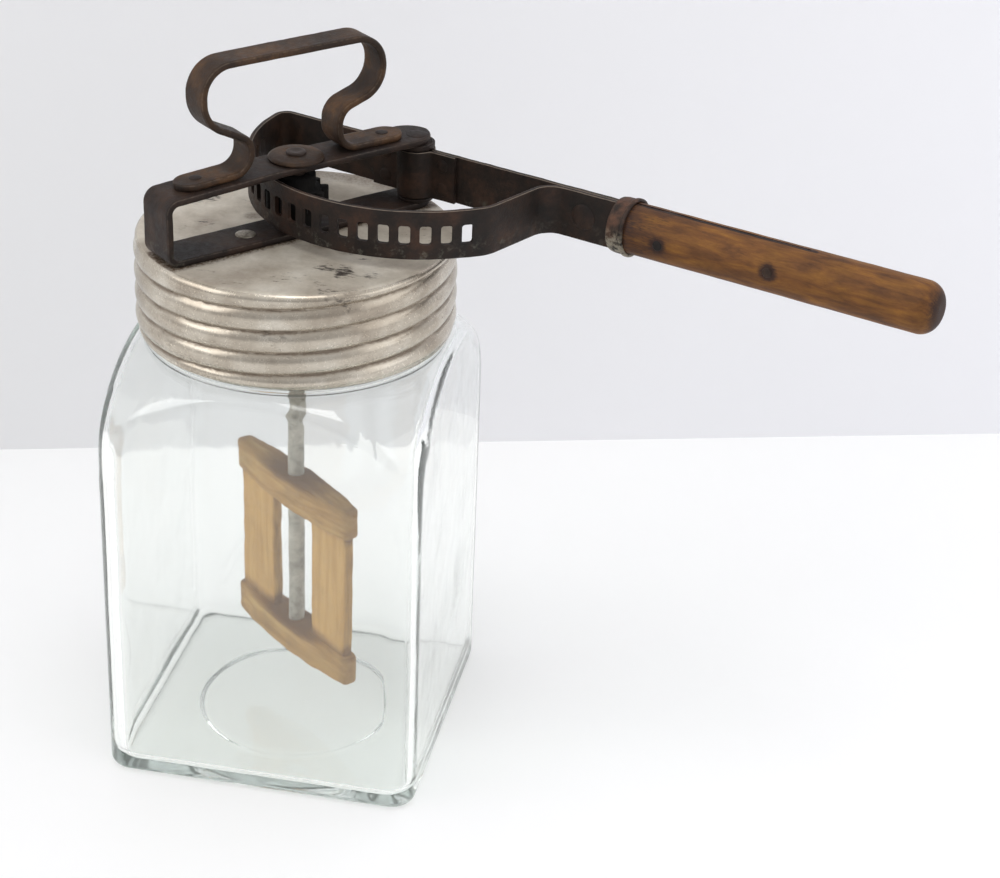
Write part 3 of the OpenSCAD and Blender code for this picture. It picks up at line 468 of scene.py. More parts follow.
def bend(centre, radius, start, stop, step=0.8):
    count = max(3, math.ceil(abs(radians(stop - start)) * radius / step))
    way = 1 if stop > start else -1
    out = []
    for i in range(count + 1):
        a = radians(start + (stop - start) * i / count)
        out.append((centre[0] + radius * cos(a), centre[1] + radius * sin(a), -way * sin(a), way * cos(a)))
    return out


def joined(*runs):
    path = []
    for point in (point for run in runs for point in run):
        if not path or math.dist(point[:2], path[-1][:2]) > 1e-4:
            path.append(point)
    return path


def bentPath(points, radii):
    # polyline with its corners bent to the given radii
    runs, last = [], Vector(points[0])
    for before, corner, after, radius in zip(points, points[1:], points[2:], radii):
        corner = Vector(corner)
        here, there = (corner - Vector(before)).normalized(), (Vector(after) - corner).normalized()
        turn = math.atan2(here[0] * there[1] - here[1] * there[0], here.dot(there))
        start = corner - here * radius * math.tan(abs(turn) / 2)
        side = 1 if turn > 0 else -1
        centre = start + Vector((-here[1], here[0])) * side * radius
        a = degrees(math.atan2(start[1] - centre[1], start[0] - centre[0]))
        runs += [straight(last, start), bend(centre, radius, a, a + degrees(turn))]
        last = Vector(runs[-1][-1][:2])
    return joined(*runs, straight(last, points[-1]))


def ribbonRing(half, thick, edge, across=6, through=1):
    # outline of a strap's section as (across, through, wear) with rounded edges, worn only there
    edge = min(edge, half * 0.9, thick * 0.49)
    flatHalf, flatThick = half - edge, thick / 2 - edge
    inset = min(0.35 / flatHalf, 0.5 / across)
    broad = [inset] + [k / across for k in range(1, across)] + [1 - inset]
    narrow = [k / through for k in range(1, through)]
    ring = []
    for wayB, wayN, start in ((1, 1, 0), (-1, 1, 90), (-1, -1, 180), (1, -1, 270)):
        for k in range(4):
            a = radians(start + 30 * k)
            wear = 1.0 if k in (1, 2) else 0.4
            ring.append((wayB * flatHalf + edge * cos(a), wayN * flatThick + edge * sin(a), wear))
        if start in (0, 180):
            ring += [(wayB * flatHalf * (1 - 2 * t), wayN * thick / 2, 0.0) for t in broad]
        else:
            ring += [(wayB * half, wayN * flatThick * (1 - 2 * t), 0.0) for t in narrow]
    return ring


def strapAlong(name, path, size, place, rounded=False, crust=None, rubbing=None):
    # a flat strap swept along the path, with both its ends round where asked
    radius = size["width"] / 2
    cuts = [radius * (1 - cos(radians(a))) for a in range(6, 91, 7)]
    ends = []
    if rounded:
        for way in (1, -1):
            path = path[::way]
            x, y, tx, ty = path[0]
            tip = [(x + way * tx * cut, y + way * ty * cut, tx, ty) for cut in cuts]
            path = tip + [point for point in path if hypot(point[0] - x, point[1] - y) > radius + 0.2]
            path = path[::way]
        ends = [Vector(path[0][:2]), Vector(path[-1][:2])]
    rows, wear, aged = [], [], []
    for x, y, tx, ty in path:
        half = radius
        for end in ends:
            near = cuts[0] + hypot(x - end[0], y - end[1])
            if near < radius:
                half = math.sqrt(max(radius ** 2 - (radius - near) ** 2, 0.04))
        rows.append([])
        wear.append([])
        aged.append([])
        for across, through, rubbed in ribbonRing(half, size["thick"], size["edge"]):
            at = Vector((x, y, across))
            rough = noise.noise(at / 11) + 0.5 * noise.noise(at / 3.5 + Vector((9, 4, 2))) - 0.5
            grow = size["uneven"] * rough
            through += grow * (1 if through > 0 else -1) * (0.5 if abs(through) > 0.2 else 0)
            across += grow * (1 if across > 0 else -1) * (1.0 if rubbed else 0)
            rows[-1].append(place(x - ty * through, y + tx * through, across))
            wear[-1].append(rubbed * (rubbing(x, across) if rubbing else 1.0))
            aged[-1].append(crust(x, y, across) if crust else 0.0)
    return solidFromRows(name, rows, {"wear": wear, "crust": aged})


def plainMesh(obj):
    # the evaluated shape becomes the object's own mesh, and the modifiers go
    shape = bpy.data.meshes.new_from_object(obj.evaluated_get(bpy.context.evaluated_depsgraph_get()))
    shape.name = obj.name
    obj.modifiers.clear()
    obj.data = shape
    return obj


def smooth(obj, angle=38):
    obj.data.shade_smooth()
    obj.data.set_sharp_from_angle(angle=radians(angle))
    return obj


def settle(obj, finish, body, slotName, *stoodFor):
    if obj.data.materials:
        obj.data.materials[0] = finish
    else:
        obj.data.materials.append(finish)
    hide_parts(*stoodFor)
    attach(obj, body)


def treeFor(name, **kinds):
    # a tree with named inputs, given as kind=(names), and the finish
    tree = bpy.data.node_groups.new(name, "GeometryNodeTree")
    tree.interface.new_socket("Geometry", in_out="OUTPUT", socket_type="NodeSocketGeometry")
    for kind, labels in dict({"Geometry": ["Geometry"]}, **kinds, Material=["Finish"]).items():
        for label in labels:
            tree.interface.new_socket(label, in_out="INPUT", socket_type="NodeSocket" + kind)
    return tree, add(tree, "NodeGroupInput").outputs


def endTree(tree, given, shape):
    real = add(tree, "GeometryNodeRealizeInstances", {0: shape})
    dressed = add(tree, "GeometryNodeSetMaterial", {"Geometry": real, "Material": given["Finish"]})
    add(tree, "NodeGroupOutput", {0: dressed})
    return tree


def runTree(obj, tree, values):
    mod = obj.modifiers.new(tree.name, "NODES")
    mod.node_group = tree
    for item in tree.interface.items_tree:
        if item.in_out == "INPUT" and item.name in values:
            mod[item.identifier] = values[item.name]
    obj.update_tag()
    return plainMesh(obj)


def cutAway(obj, cutter):
    cut = obj.modifiers.new("cut", "BOOLEAN")
    cut.operation, cut.solver, cut.object = "DIFFERENCE", "EXACT", cutter
    plainMesh(obj)
    bpy.data.objects.remove(cutter)
    return obj


def marked(obj, name, rule):
    # a point mark worked out from each point's place in millimetres
    mark = obj.data.attributes.get(name) or obj.data.attributes.new(name, "FLOAT", "POINT")
    mark.data.foreach_set("value", [rule(v.co * 1000) for v in obj.data.vertices])
    return obj


def asIs(x, y, z):
    return (x, y, z)


# jar

jarSizes = {"half": 70.65, "corner": 11.0, "innerCorner": 8.5, "heel": 4.0, "wall": 4.5, "floor": 3.8,
            "dome": 2.8, "fillet": 6.5, "arcCentre": (46.23, 150.72), "arc": 50.0, "shoulderFrom": 151.0,
            "blend": 4.0, "neck": 62.5, "neckFrom": 198.0, "bead": 1.6, "rim": 240.0, "rimRound": 1.6,
            "thread": 1.9, "threadHalf": 1.7, "threadRows": 201.5, "threadStart": 206.0,
            "threadSpan": (207, 232), "pitch": 9.8, "lead": 19.6, "ledge": 0.9, "ledgeAt": 65.2,
            "ledgeHalf": 0.7, "skinIn": 0.06, "wallRipple": 0.05, "shoulderRipple": 0.06, "ripple": 0.2,
            "floorWave": 0.25, "hollowRise": 3.6,
            "hollow": ((12, 3.55), (24, 3.4), (34, 3.1), (40, 2.9), (42.6, 2.8), (43.6, 2.6), (44.1, 2.1),
                       (44.4, 1.4), (44.7, 0.7), (45.1, 0.25), (45.9, 0.05), (47.6, 0.0))}


def squareReach(a, half, corner):
    # distance from the axis to a rounded square's outline
    across, along = sorted((abs(cos(a)), abs(sin(a))))
    flat = half - corner
    if half * across / along <= flat:
        return half / along
    middle = flat * (along + across)
    return middle + math.sqrt(max(middle * middle - 2 * flat * flat + corner * corner, 0.0))


def softMin(a, b, blend):
    near = max(blend - abs(a - b), 0.0) / blend
    return min(a, b) - near * near * blend / 4


def makeJar(jar):
    half, corner, innerCorner = jar["half"], jar["corner"], jar["innerCorner"]
    heel, wall, fillet, floor = jar["heel"], jar["wall"], jar["fillet"], jar["floor"]
    arc, neck, bead = jar["arc"], jar["neck"], jar["bead"]
    arcR, arcZ = jar["arcCentre"]
    noShoulder = 400.0  # a reach that no wall comes near
    flat = [3.1 * i for i in range(12)]  # wide steps along the flats, and close ones round the corners
    cornerFrom, cornerTo = 37.2, 52.8
    close = [cornerFrom + (cornerTo - cornerFrom) * i / 18 for i in range(18)]
    quarter = flat + close + [cornerTo + a for a in flat]
    turns = [radians(first + a) for first in (0, 90, 180, 270) for a in quarter]

    def evenRow(reach, z):
        return [polar(reach, a, z) for a in turns]

    def wallRow(z, widest, side, edge, wave):
        # a rounded square, cut off by the shoulder's reach, with slow ripples
        row = []
        for a in turns:
            reach = softMin(squareReach(a, side, edge), widest, jar["blend"])
            at = Vector(polar(reach, a, z))
            reach += wave * (noise.noise(at / 31) + 0.15 * noise.noise(at / 12 + Vector((3, 8, 1))))
            row.append(polar(reach, a, z))
        return row

    # underside, from the middle of the hollow out and round the heel
    rows = [[(0, 0, jar["hollowRise"])]] + [evenRow(reach, z) for reach, z in jar["hollow"]]
    ringEdge = jar["hollow"][-1][0]
    foot = [squareReach(a, half - heel, corner - heel) for a in turns]
    for part in (0.3, 0.6, 0.85):
        rows.append([polar(ringEdge + (reach - ringEdge) * part, a, 0.0) for a, reach in zip(turns, foot)])
    for k in range(0, 91, 10):
        cut, z = heel * (1 - sin(radians(k))), heel * (1 - cos(radians(k)))
        rows.append([polar(squareReach(a, half - cut, corner - cut), a, z) for a in turns])
    # outer wall and shoulder
    outHalf = half - jar["skinIn"]
    rows += [wallRow(z, noShoulder, outHalf, corner, jar["wallRipple"]) for z in range(8, 150, 6)]
    low, top = (degrees(math.asin((z - arcZ) / arc)) for z in (jar["shoulderFrom"], jar["neckFrom"]))
    for k in [*range(32)] + [32 + i / 4 for i in range(13)]:  # close rows for the ledge under the lid
        a = radians(low + (top - low) * k / 35)
        reach = arcR + arc * cos(a)
        ledge = jar["ledge"] * math.exp(-((reach - jar["ledgeAt"]) / jar["ledgeHalf"]) ** 2)
        rows.append(wallRow(arcZ + arc * sin(a) + ledge, reach, outHalf, corner, jar["shoulderRipple"]))
    # neck with a bead at its foot, its thread and its rounded rim
    for k in range(-70, 91, 20):
        rows.append(evenRow(neck + bead * cos(radians(k)), jar["neckFrom"] + bead + bead * sin(radians(k))))
    threadFrom, threadTo = jar["threadSpan"]
    for z in (jar["threadRows"] + i for i in range(37)):
        row = []
        for a in turns:
            climb = (z - jar["threadStart"] - jar["lead"] * a / (2 * pi)) / jar["pitch"]
            near = abs(climb - round(climb)) * jar["pitch"]
            ridge = jar["thread"] * max(0.0, 1 - (near / jar["threadHalf"]) ** 2)
            row.append(polar(neck + (ridge if threadFrom < z < threadTo else 0.0), a, z))
        rows.append(row)
    inNeck, inHalf, inArc = neck - wall, half - wall, arc - wall
    for k in range(0, 181, 20):
        rows.append(evenRow((neck + inNeck) / 2 + wall / 2 * cos(radians(k)),
                            jar["rim"] - jar["rimRound"] * (1 - sin(radians(k)))))
    # inside, down the neck, the shoulder and the wall to the domed floor
    rows += [evenRow(inNeck, z) for z in range(236, 197, -3)]
    top = degrees(math.acos((inNeck - arcR) / inArc))
    for k in range(36):
        a = radians(top + (low - top) * k / 35)
        rows.append(wallRow(arcZ + inArc * sin(a), arcR + inArc * cos(a), inHalf, innerCorner, jar["ripple"]))
    rows += [wallRow(z, noShoulder, inHalf, innerCorner, jar["ripple"]) for z in range(147, 15, -5)]

    def sharper(cut):
        return max(innerCorner - cut * 0.6, 2.0)  # the corner's radius falls as the fillet turns in

    for k in range(0, 91, 10):
        cut, z = fillet * (1 - cos(radians(k))), floor + fillet * (1 - sin(radians(k)))
        rows.append(wallRow(z, noShoulder, inHalf - cut, sharper(cut), jar["ripple"] * (1 - k / 90)))
    edge = [squareReach(a, inHalf - fillet, sharper(fillet)) for a in turns]
    for part in (0.94, 0.85, 0.7, 0.52, 0.34, 0.16):
        row = []
        for a, reach in zip(turns, edge):
            wave = jar["floorWave"] * noise.noise(Vector(polar(reach * part, a, 0)) / 17)
            row.append(polar(reach * part, a, floor + jar["dome"] * (1 - part * part) + wave))
        rows.append(row)
    rows.append([(0, 0, floor + jar["dome"])])
    return solidFromRows("jarGlass", rows)


seedSizes = {"Count": 90.0, "Seed": 11, "From": 0.168, "To": 0.196, "Smallest": 0.00015, "Largest": 0.0004,
             "Depth": 0.0021}  # in metres, with the count for each square metre


def seedTree():
    # seeds: small air bubbles left in the pressed glass, as hollows inside the wall
    tree, given = treeFor("glassSeeds", Int=["Seed"],
                          Float=("Count", "From", "To", "Smallest", "Largest", "Depth"))
    height = add(tree, "ShaderNodeSeparateXYZ", {0: add(tree, "GeometryNodeInputPosition")}).outputs["Z"]
    above = add(tree, "FunctionNodeCompare", {0: height, 1: given["From"]}, operation="GREATER_THAN")
    below = add(tree, "FunctionNodeCompare", {0: height, 1: given["To"]}, operation="LESS_THAN")
    belt = add(tree, "FunctionNodeBooleanMath", {0: above, 1: below}, operation="AND")
    spread = add(tree, "GeometryNodeDistributePointsOnFaces",
                 {"Mesh": given["Geometry"], "Selection": belt, "Density": given["Count"],
                  "Seed": given["Seed"]})
    inward = add(tree, "ShaderNodeVectorMath", {0: spread.outputs["Normal"], "Scale": given["Depth"]},
                 operation="SCALE")
    inward = add(tree, "ShaderNodeVectorMath", {0: inward, "Scale": -1.0}, operation="SCALE")
    sunk = add(tree, "GeometryNodeSetPosition", {"Geometry": spread, "Offset": inward})
    size = add(tree, "FunctionNodeRandomValue",
               {2: given["Smallest"], 3: given["Largest"], "Seed": given["Seed"]})
    ball = add(tree, "GeometryNodeMeshIcoSphere", {"Radius": 1.0, "Subdivisions": 2})
    hollow = add(tree, "GeometryNodeFlipFaces", {0: ball})
    seeds = add(tree, "GeometryNodeInstanceOnPoints", {"Points": sunk, "Instance": hollow, "Scale": size})
    both = add(tree, "GeometryNodeJoinGeometry", {0: seeds})
    wire(tree, both, {0: given["Geometry"]})
    return endTree(tree, given, both)


jarGlass = makeJar(jarSizes)
runTree(jarGlass, seedTree(), dict(seedSizes, Finish=glassMat))
jarGlass.data.shade_smooth()
settle(jarGlass, glassMat, "jar", "clear_glass", "glass_jar")
print("jar done,", len(jarGlass.data.polygons), "faces")


# lid

lidSizes = {"radius": 69.0, "foot": 67.6, "footRise": 4.0, "sheet": 1.1, "low": 200.7, "high": 243.5,
            "round": 3.5, "bore": 6.55, "step": 0.45, "pitch": 9.8, "lead": 19.6, "depth": 2.1,
            "start": 211.4, "runIn": 2.5, "runOut": (39.0, 41.5), "crest": 0.96, "bulge": 0.9,
            "grimePower": 1.7, "dent": 0.45, "dentSize": 19.0, "seed": 3.7, "segments": 168,
            "soot": ((22, -36, 7), (31, -38, 9), (42, -36, 7), (-38, -3, 7), (-48, 20, 10)),
            # stain patches: the first seven paint a dark reflection along the rear rim, the next five paint
            # the lever arc's shadow, and the last is a small dark patch
            "stain": ((-16, 60, 14), (-8, 61, 14), (0, 62, 14), (8, 62, 14), (16, 61, 14), (24, 59, 14),
                      (32, 56, 13), (16, -14, 8), (27, -16, 10), (38, -15, 10), (48, -12, 10), (56, -7, 8),
                      (-22, 8, 7))}


def lidProfile(lid):
    # section of the lid as (radius, height, groove mark), outside up, over the top and back down inside
    low, high, sheet, bore, rounding = (lid[key] for key in ("low", "high", "sheet", "bore", "round"))
    turnIn, topR, inBend = lid["radius"] - lid["foot"], lid["radius"] - rounding, rounding - sheet
    levels = [lid["step"] * i for i in range(int((high - low - rounding) / lid["step"]) + 1)]
    outside = [(lid["radius"] - turnIn * fade(v, 0, lid["footRise"]) ** 2, low + v, 0.0) for v in levels]
    footR, lip = outside[0][0], 0.5
    edge = [(footR - sheet / 2 + sheet / 2 * cos(radians(a)), low + lip - lip * sin(radians(a)), 0.6)
            for a in (150, 120, 90, 60, 30)]
    outside[0] = (footR, low + lip, 0.6)
    shoulder = [(topR + rounding * cos(radians(a)), high - rounding * (1 - sin(radians(a))), 0.0)
                for a in range(10, 91, 10)]
    flat = [topR - (topR - bore) * i / 40 for i in range(1, 41)]
    top = [(r, high, 0.0) for r in flat]
    under = [(r, high - sheet, 0.5) for r in reversed(flat)]
    inner = [(topR + inBend * cos(radians(a)), high - sheet - inBend * (1 - sin(radians(a))), 0.5)
             for a in range(90, 9, -10)]
    back = [(r - sheet, z, 0.4) for r, z, mark in reversed(outside)]
    return edge + outside + shoulder + top + under + inner + back


def lidTree():
    # the section is turned round the axis, the thread is rolled into the skirt, and slow noise dents it
    tree, given = treeFor("turnedLid", Int=["Segments"],
                          Float=("Turn Radius", "Pitch", "Lead", "Depth", "Start", "Low", "Run In",
                                 "Fade From", "Fade To", "Crest", "Bulge", "Grime Power", "Dent",
                                 "Dent Size", "Seed"))
    section = add(tree, "GeometryNodeMeshToCurve", {"Mesh": given["Geometry"]})
    circle = add(tree, "GeometryNodeCurvePrimitiveCircle",
                 {"Resolution": given["Segments"], "Radius": given["Turn Radius"]})
    circle = add(tree, "GeometryNodeSetCurveNormal", {"Curve": circle}, mode="Z_UP")
    shell = add(tree, "GeometryNodeCurveToMesh", {"Curve": circle, "Profile Curve": section})
    place = add(tree, "GeometryNodeInputPosition")
    axes = add(tree, "ShaderNodeSeparateXYZ", {0: place}).outputs
    # how far each point is from the nearest groove, in pitches
    around = add(tree, "ShaderNodeMath", {0: axes["Y"], 1: axes["X"]}, operation="ARCTAN2")
    climb = add(tree, "ShaderNodeMath", {0: around, 1: 0.5 / pi}, operation="MULTIPLY")
    climb = add(tree, "ShaderNodeMath",
                {0: climb, 1: given["Lead"], 2: given["Start"]}, operation="MULTIPLY_ADD")
    level = add(tree, "ShaderNodeMath", {0: axes["Z"], 1: climb}, operation="SUBTRACT")
    level = add(tree, "ShaderNodeMath", {0: level, 1: given["Pitch"]}, operation="DIVIDE")
    near = add(tree, "ShaderNodeMath", {0: level, 1: 0.5}, operation="PINGPONG")
    # half-round ribs between narrow grooves
    crest = add(tree, "ShaderNodeMapRange",
                {"Value": near, "From Max": 0.5, "To Min": given["Crest"], "To Max": 0.0})
    wave = add(tree, "ShaderNodeMath", {0: crest, 1: 2.0}, operation="POWER")
    wave = add(tree, "ShaderNodeMath", {0: 1.0, 1: wave}, operation="SUBTRACT")
    wave = add(tree, "ShaderNodeMath", {0: wave, 1: given["Bulge"]}, operation="POWER")
    press = add(tree, "ShaderNodeMath", {0: 1.0, 1: wave}, operation="SUBTRACT")
    # the thread runs in at the foot and out under the top
    foot = add(tree, "ShaderNodeMath", {0: given["Low"], 1: given["Run In"]}, operation="ADD")
    foot = add(tree, "ShaderNodeMapRange", {"Value": axes["Z"], "From Min": given["Low"], "From Max": foot})
    head = add(tree, "ShaderNodeMapRange", {"Value": axes["Z"], "From Min": given["Fade From"],
                                            "From Max": given["Fade To"], "To Min": 1.0, "To Max": 0.0})
    ends = add(tree, "ShaderNodeMath", {0: foot, 1: head}, operation="MULTIPLY")
    press = add(tree, "ShaderNodeMath", {0: press, 1: ends}, operation="MULTIPLY")
    deep = add(tree, "ShaderNodeMath", {0: press, 1: given["Depth"]}, operation="MULTIPLY")
    inward = add(tree, "ShaderNodeVectorMath", {0: place, 1: (-1, -1, 0)}, operation="MULTIPLY")
    inward = add(tree, "ShaderNodeVectorMath", {0: inward}, operation="NORMALIZE")
    inward = add(tree, "ShaderNodeVectorMath", {0: inward, "Scale": deep}, operation="SCALE")
    scale = add(tree, "ShaderNodeMath", {0: 1.0, 1: given["Dent Size"]}, operation="DIVIDE")
    slow = add(tree, "ShaderNodeTexNoise",
               {"Vector": place, "Scale": scale, "W": given["Seed"], "Detail": 1.0},
               noise_dimensions="4D").outputs["Color"]
    push = add(tree, "ShaderNodeVectorMath", {0: slow, 1: (0.5, 0.5, 0.5)}, operation="SUBTRACT")
    push = add(tree, "ShaderNodeVectorMath", {0: push, "Scale": given["Dent"]}, operation="SCALE")
    push = add(tree, "ShaderNodeVectorMath", {0: push, 1: inward}, operation="ADD")
    # grime lies in the grooves, and on the faces that the section marks
    before = add(tree, "GeometryNodeInputNamedAttribute", {"Name": "groove"}, data_type="FLOAT")
    grime = add(tree, "ShaderNodeMath", {0: press, 1: given["Grime Power"]}, operation="POWER")
    grime = add(tree, "ShaderNodeMath", {0: grime, 1: before}, operation="MAXIMUM")
    stored = add(tree, "GeometryNodeStoreNamedAttribute",
                 {"Geometry": shell, "Name": "groove", "Value": grime},
                 data_type="FLOAT", domain="POINT")
    dented = add(tree, "GeometryNodeSetPosition", {"Geometry": stored, "Offset": push})
    even = add(tree, "GeometryNodeSetShadeSmooth", {"Geometry": dented, "Shade Smooth": True})
    return endTree(tree, given, even)


def makeLid(lid):
    section = lidProfile(lid)
    count = len(section)
    mesh = bpy.data.meshes.new("ribbedLid")
    mesh.from_pydata([((r - lid["radius"]) * mm, -z * mm, 0) for r, z, mark in section],
                     [(i, (i + 1) % count) for i in range(count)], [])
    groove = mesh.attributes.new("groove", "FLOAT", "POINT")
    groove.data.foreach_set("value", [mark for r, z, mark in section])
    fadeFrom, fadeTo = lid["runOut"]
    lengths = {"Turn Radius": lid["radius"], "Pitch": lid["pitch"], "Lead": lid["lead"],
               "Depth": lid["depth"], "Start": lid["start"], "Low": lid["low"], "Run In": lid["runIn"],
               "Fade From": lid["low"] + fadeFrom, "Fade To": lid["low"] + fadeTo, "Dent": lid["dent"],
               "Dent Size": lid["dentSize"]}
    values = {name: size * mm for name, size in lengths.items()}
    values.update({"Crest": lid["crest"], "Bulge": lid["bulge"], "Grime Power": lid["grimePower"],
                   "Segments": lid["segments"], "Seed": lid["seed"], "Finish": zincMat})
    return runTree(placed("ribbedLid", mesh), lidTree(), values)


def patches(spots):
    # round patches as (x, y, radius), full in the middle and gone at the radius
    def rule(p):
        return max(max(0.0, 1 - (hypot(p.x - x, p.y - y) / r) ** 2) for x, y, r in spots)
    return rule


ribbedLid = makeLid(lidSizes)
# soot gives black spots; the stain mark is mostly a painted shadow and a painted dark reflection
for mark in ("soot", "stain"):
    marked(ribbedLid, mark, patches(lidSizes[mark]))
settle(smooth(ribbedLid, 60), zincMat, "lid", "zinc_sheet", "screw_lid")
print("lid done,", len(ribbedLid.data.polygons), "faces")


# small turned pieces of the lid

pivot = (42.318, 41.586)
frameTurn, leverTurn, paddleTurn = 47.5, -20.8, -40.0
strapMid = 259.25


def spun(x, y, turn):
    cosine, sine = cos(radians(turn)), sin(radians(turn))
    return x * cosine - y * sine, x * sine + y * cosine


def atPivot(x, y, z):
    return (pivot[0] + x, pivot[1] + y, z)


def onFrame(x, z, y):
    return (*spun(x, y, frameTurn), z)


def onLever(x, y, up):
    return atPivot(*spun(x, y, leverTurn), strapMid + up)


def onPaddle(x, y, z):
    return (*spun(x, y, paddleTurn), z)


sealSizes = {"inside": 58.0, "outside": 64.6, "low": 240.2, "high": 242.2, "corner": 0.7}
rimSeal = band("rimSeal", sealSizes, asIs, 120)
settle(smooth(rimSeal), rubberMat, "seal", "seal_rubber", "lid_seal")

bushSizes = {"section": [(3.71, 239.9), (11.0, 239.9), (11.0, 242.4), (6.5, 242.4), (6.5, 243.5),
                         (3.71, 243.5)], "corner": 0.3}
rodBush = ringSolid("rodBush", bushSizes["section"], asIs, 72, bushSizes["corner"])
settle(smooth(rodBush), plainMat, "lid", "plain_steel", "lid_bush")

postSizes = {"end": 4.0, "low": 243.5, "body": 6.3, "bodyLow": 246.6, "bodyHigh": 272.6, "chamfer": 0.4,
             "high": 275.6, "head": 4.6, "headRise": 0.5, "toolMark": 0.05, "wobble": 0.03}


def postProfile(post):
    end, body, chamfer, low, high = (post[key] for key in ("end", "body", "chamfer", "low", "high"))
    bodyLow, bodyHigh = post["bodyLow"], post["bodyHigh"]
    profile = [(0, low), (end, low), (end, bodyLow), (body - chamfer, bodyLow), (body, bodyLow + chamfer)]
    profile += [(body - post["toolMark"] * (i % 2), 248 + 2 * i) for i in range(12)]  # faint lathe marks
    profile += [(body, bodyHigh - chamfer), (body - chamfer, bodyHigh), (end, bodyHigh + 0.1), (end, high)]
    profile += [(post["head"] * cos(radians(a)), high + post["headRise"] * sin(radians(a)))
                for a in range(0, 90, 15)]
    return profile + [(0, high + post["headRise"])]


pivotPost = turned("pivotPost", postProfile(postSizes), atPivot, 64, postSizes["wobble"])
settle(smooth(pivotPost), ironMat, "lid", "rusted_iron", "pivot_post")

washerSizes = {"inside": 6.36, "outside": 8.0, "corner": 0.4, "levels": ((246.5, 248.2), (270.3, 272.6))}
lowWasher, highWasher = [band("pivotWashers", dict(washerSizes, low=low, high=high), atPivot, 64)
                         for low, high in washerSizes["levels"]]
bm = bmesh.new()  # both washers in one mesh
bm.from_mesh(lowWasher.data)
bm.from_mesh(highWasher.data)
bm.to_mesh(lowWasher.data)
bm.free()
bpy.data.objects.remove(highWasher)
settle(smooth(lowWasher), ironMat, "lid", "rusted_iron", "pivot_washers")


# frame and grip

frameSizes = {"width": 20.5, "thick": 3.0, "edge": 0.9, "uneven": 0.16, "left": -66.0, "right": 66.5,
              "plate": 245.0, "bar": 274.1, "sag": 2.5, "sagFrom": -15.0, "bends": (4.5, 4.5, 30.0),
              "rodHole": 3.71, "crustTop": 256.0, "crustOver": 14.0, "crustLeft": -60.0, "crust": 0.6}


def makeFrame(size):
    path = bentPath([(size["right"], size["plate"]), (size["left"], size["plate"]),
                     (size["left"], size["bar"] - size["sag"]), (size["sagFrom"], size["bar"]),
                     (size["right"], size["bar"])], size["bends"])

    def uprightCrust(x, z, y):
        amount = size["crust"] if x < size["crustLeft"] else 0.0
        return ramp(size["crustTop"] - z, size["crustOver"]) * amount

    obj = strapAlong("gearFrame", path, size, onFrame, True, uprightCrust)
    low, high, hole = 240, 280, size["rodHole"]
    return cutAway(obj, turned("punch", [(0, low), (hole, low), (hole, high), (0, high)], asIs, 48))


gearFrame = makeFrame(frameSizes)
settle(smooth(gearFrame), ironMat, "lid", "rusted_iron", "gear_frame")

gripSizes = {"width": 14.0, "thick": 3.0, "edge": 1.0, "uneven": 0.16, "bends": (9, 6, 15, 13, 13, 13, 8, 9),
             "path": [(-58, 274.99), (-25, 276.61), (-25, 290.1), (-47, 301.1), (-47, 324.6), (39.5, 324.6),
                      (39.5, 301.6), (18, 294.6), (18, 277.1), (52, 277.1)]}
topGrip = strapAlong("topGrip", bentPath(gripSizes["path"], gripSizes["bends"]), gripSizes, onFrame, True)
settle(smooth(topGrip), gripMat, "lid", "rusted_iron", "top_grip")
print("frame and grip done")


# lever

leverSizes = {"width": 21.5, "thick": 2.0, "edge": 0.5, "uneven": 0.14, "arc": 71.75, "arcEnd": 326.0,
              "corner": 5.0, "endBend": 15.0, "back": 81.0, "rootBend": 10.0, "eye": 7.36, "eyeBend": 3.0,
              "eyeReach": 30.0, "tang": 188.0, "shortLeg": 100.5, "shortSide": -1.15, "root": 75.62,
              "slots": 19, "slotStep": 360 / 52, "lastSlot": 320.8, "slotWide": 4.9, "slotTall": 8.3,
              "slotRound": 1.2, "lowWear": 0.4, "crustFrom": 1.0, "crustOver": 7.0, "frontCrust": 0.42,
              "sideCrust": 0.2, "frontFrom": -20.0}


def eyeRun(side, mid, bendR, eye, reach):
    # straight run along X that humps round the post on one side, from +reach to -reach
    up = mid + bendR
    x = math.sqrt((eye + bendR) ** 2 - up ** 2)
    a = degrees(math.atan2(up, x))
    run = joined(straight((reach, mid), (x, mid)), bend((x, up), bendR, 270, 180 + a),
                 bend((0, 0), eye, a, 180 - a), bend((-x, up), bendR, 360 - a, 270),
                 straight((-x, mid), (-reach, mid)))
    return [(px, side * py, tx, side * ty) for px, py, tx, ty in run]


def topRubbed(x, across):
    # hands rub the upper edge most, and nothing rubs the tang inside the handle
    return 0.0 if x > leverSizes["shortLeg"] else 1.0 if across > 0 else leverSizes["lowWear"]


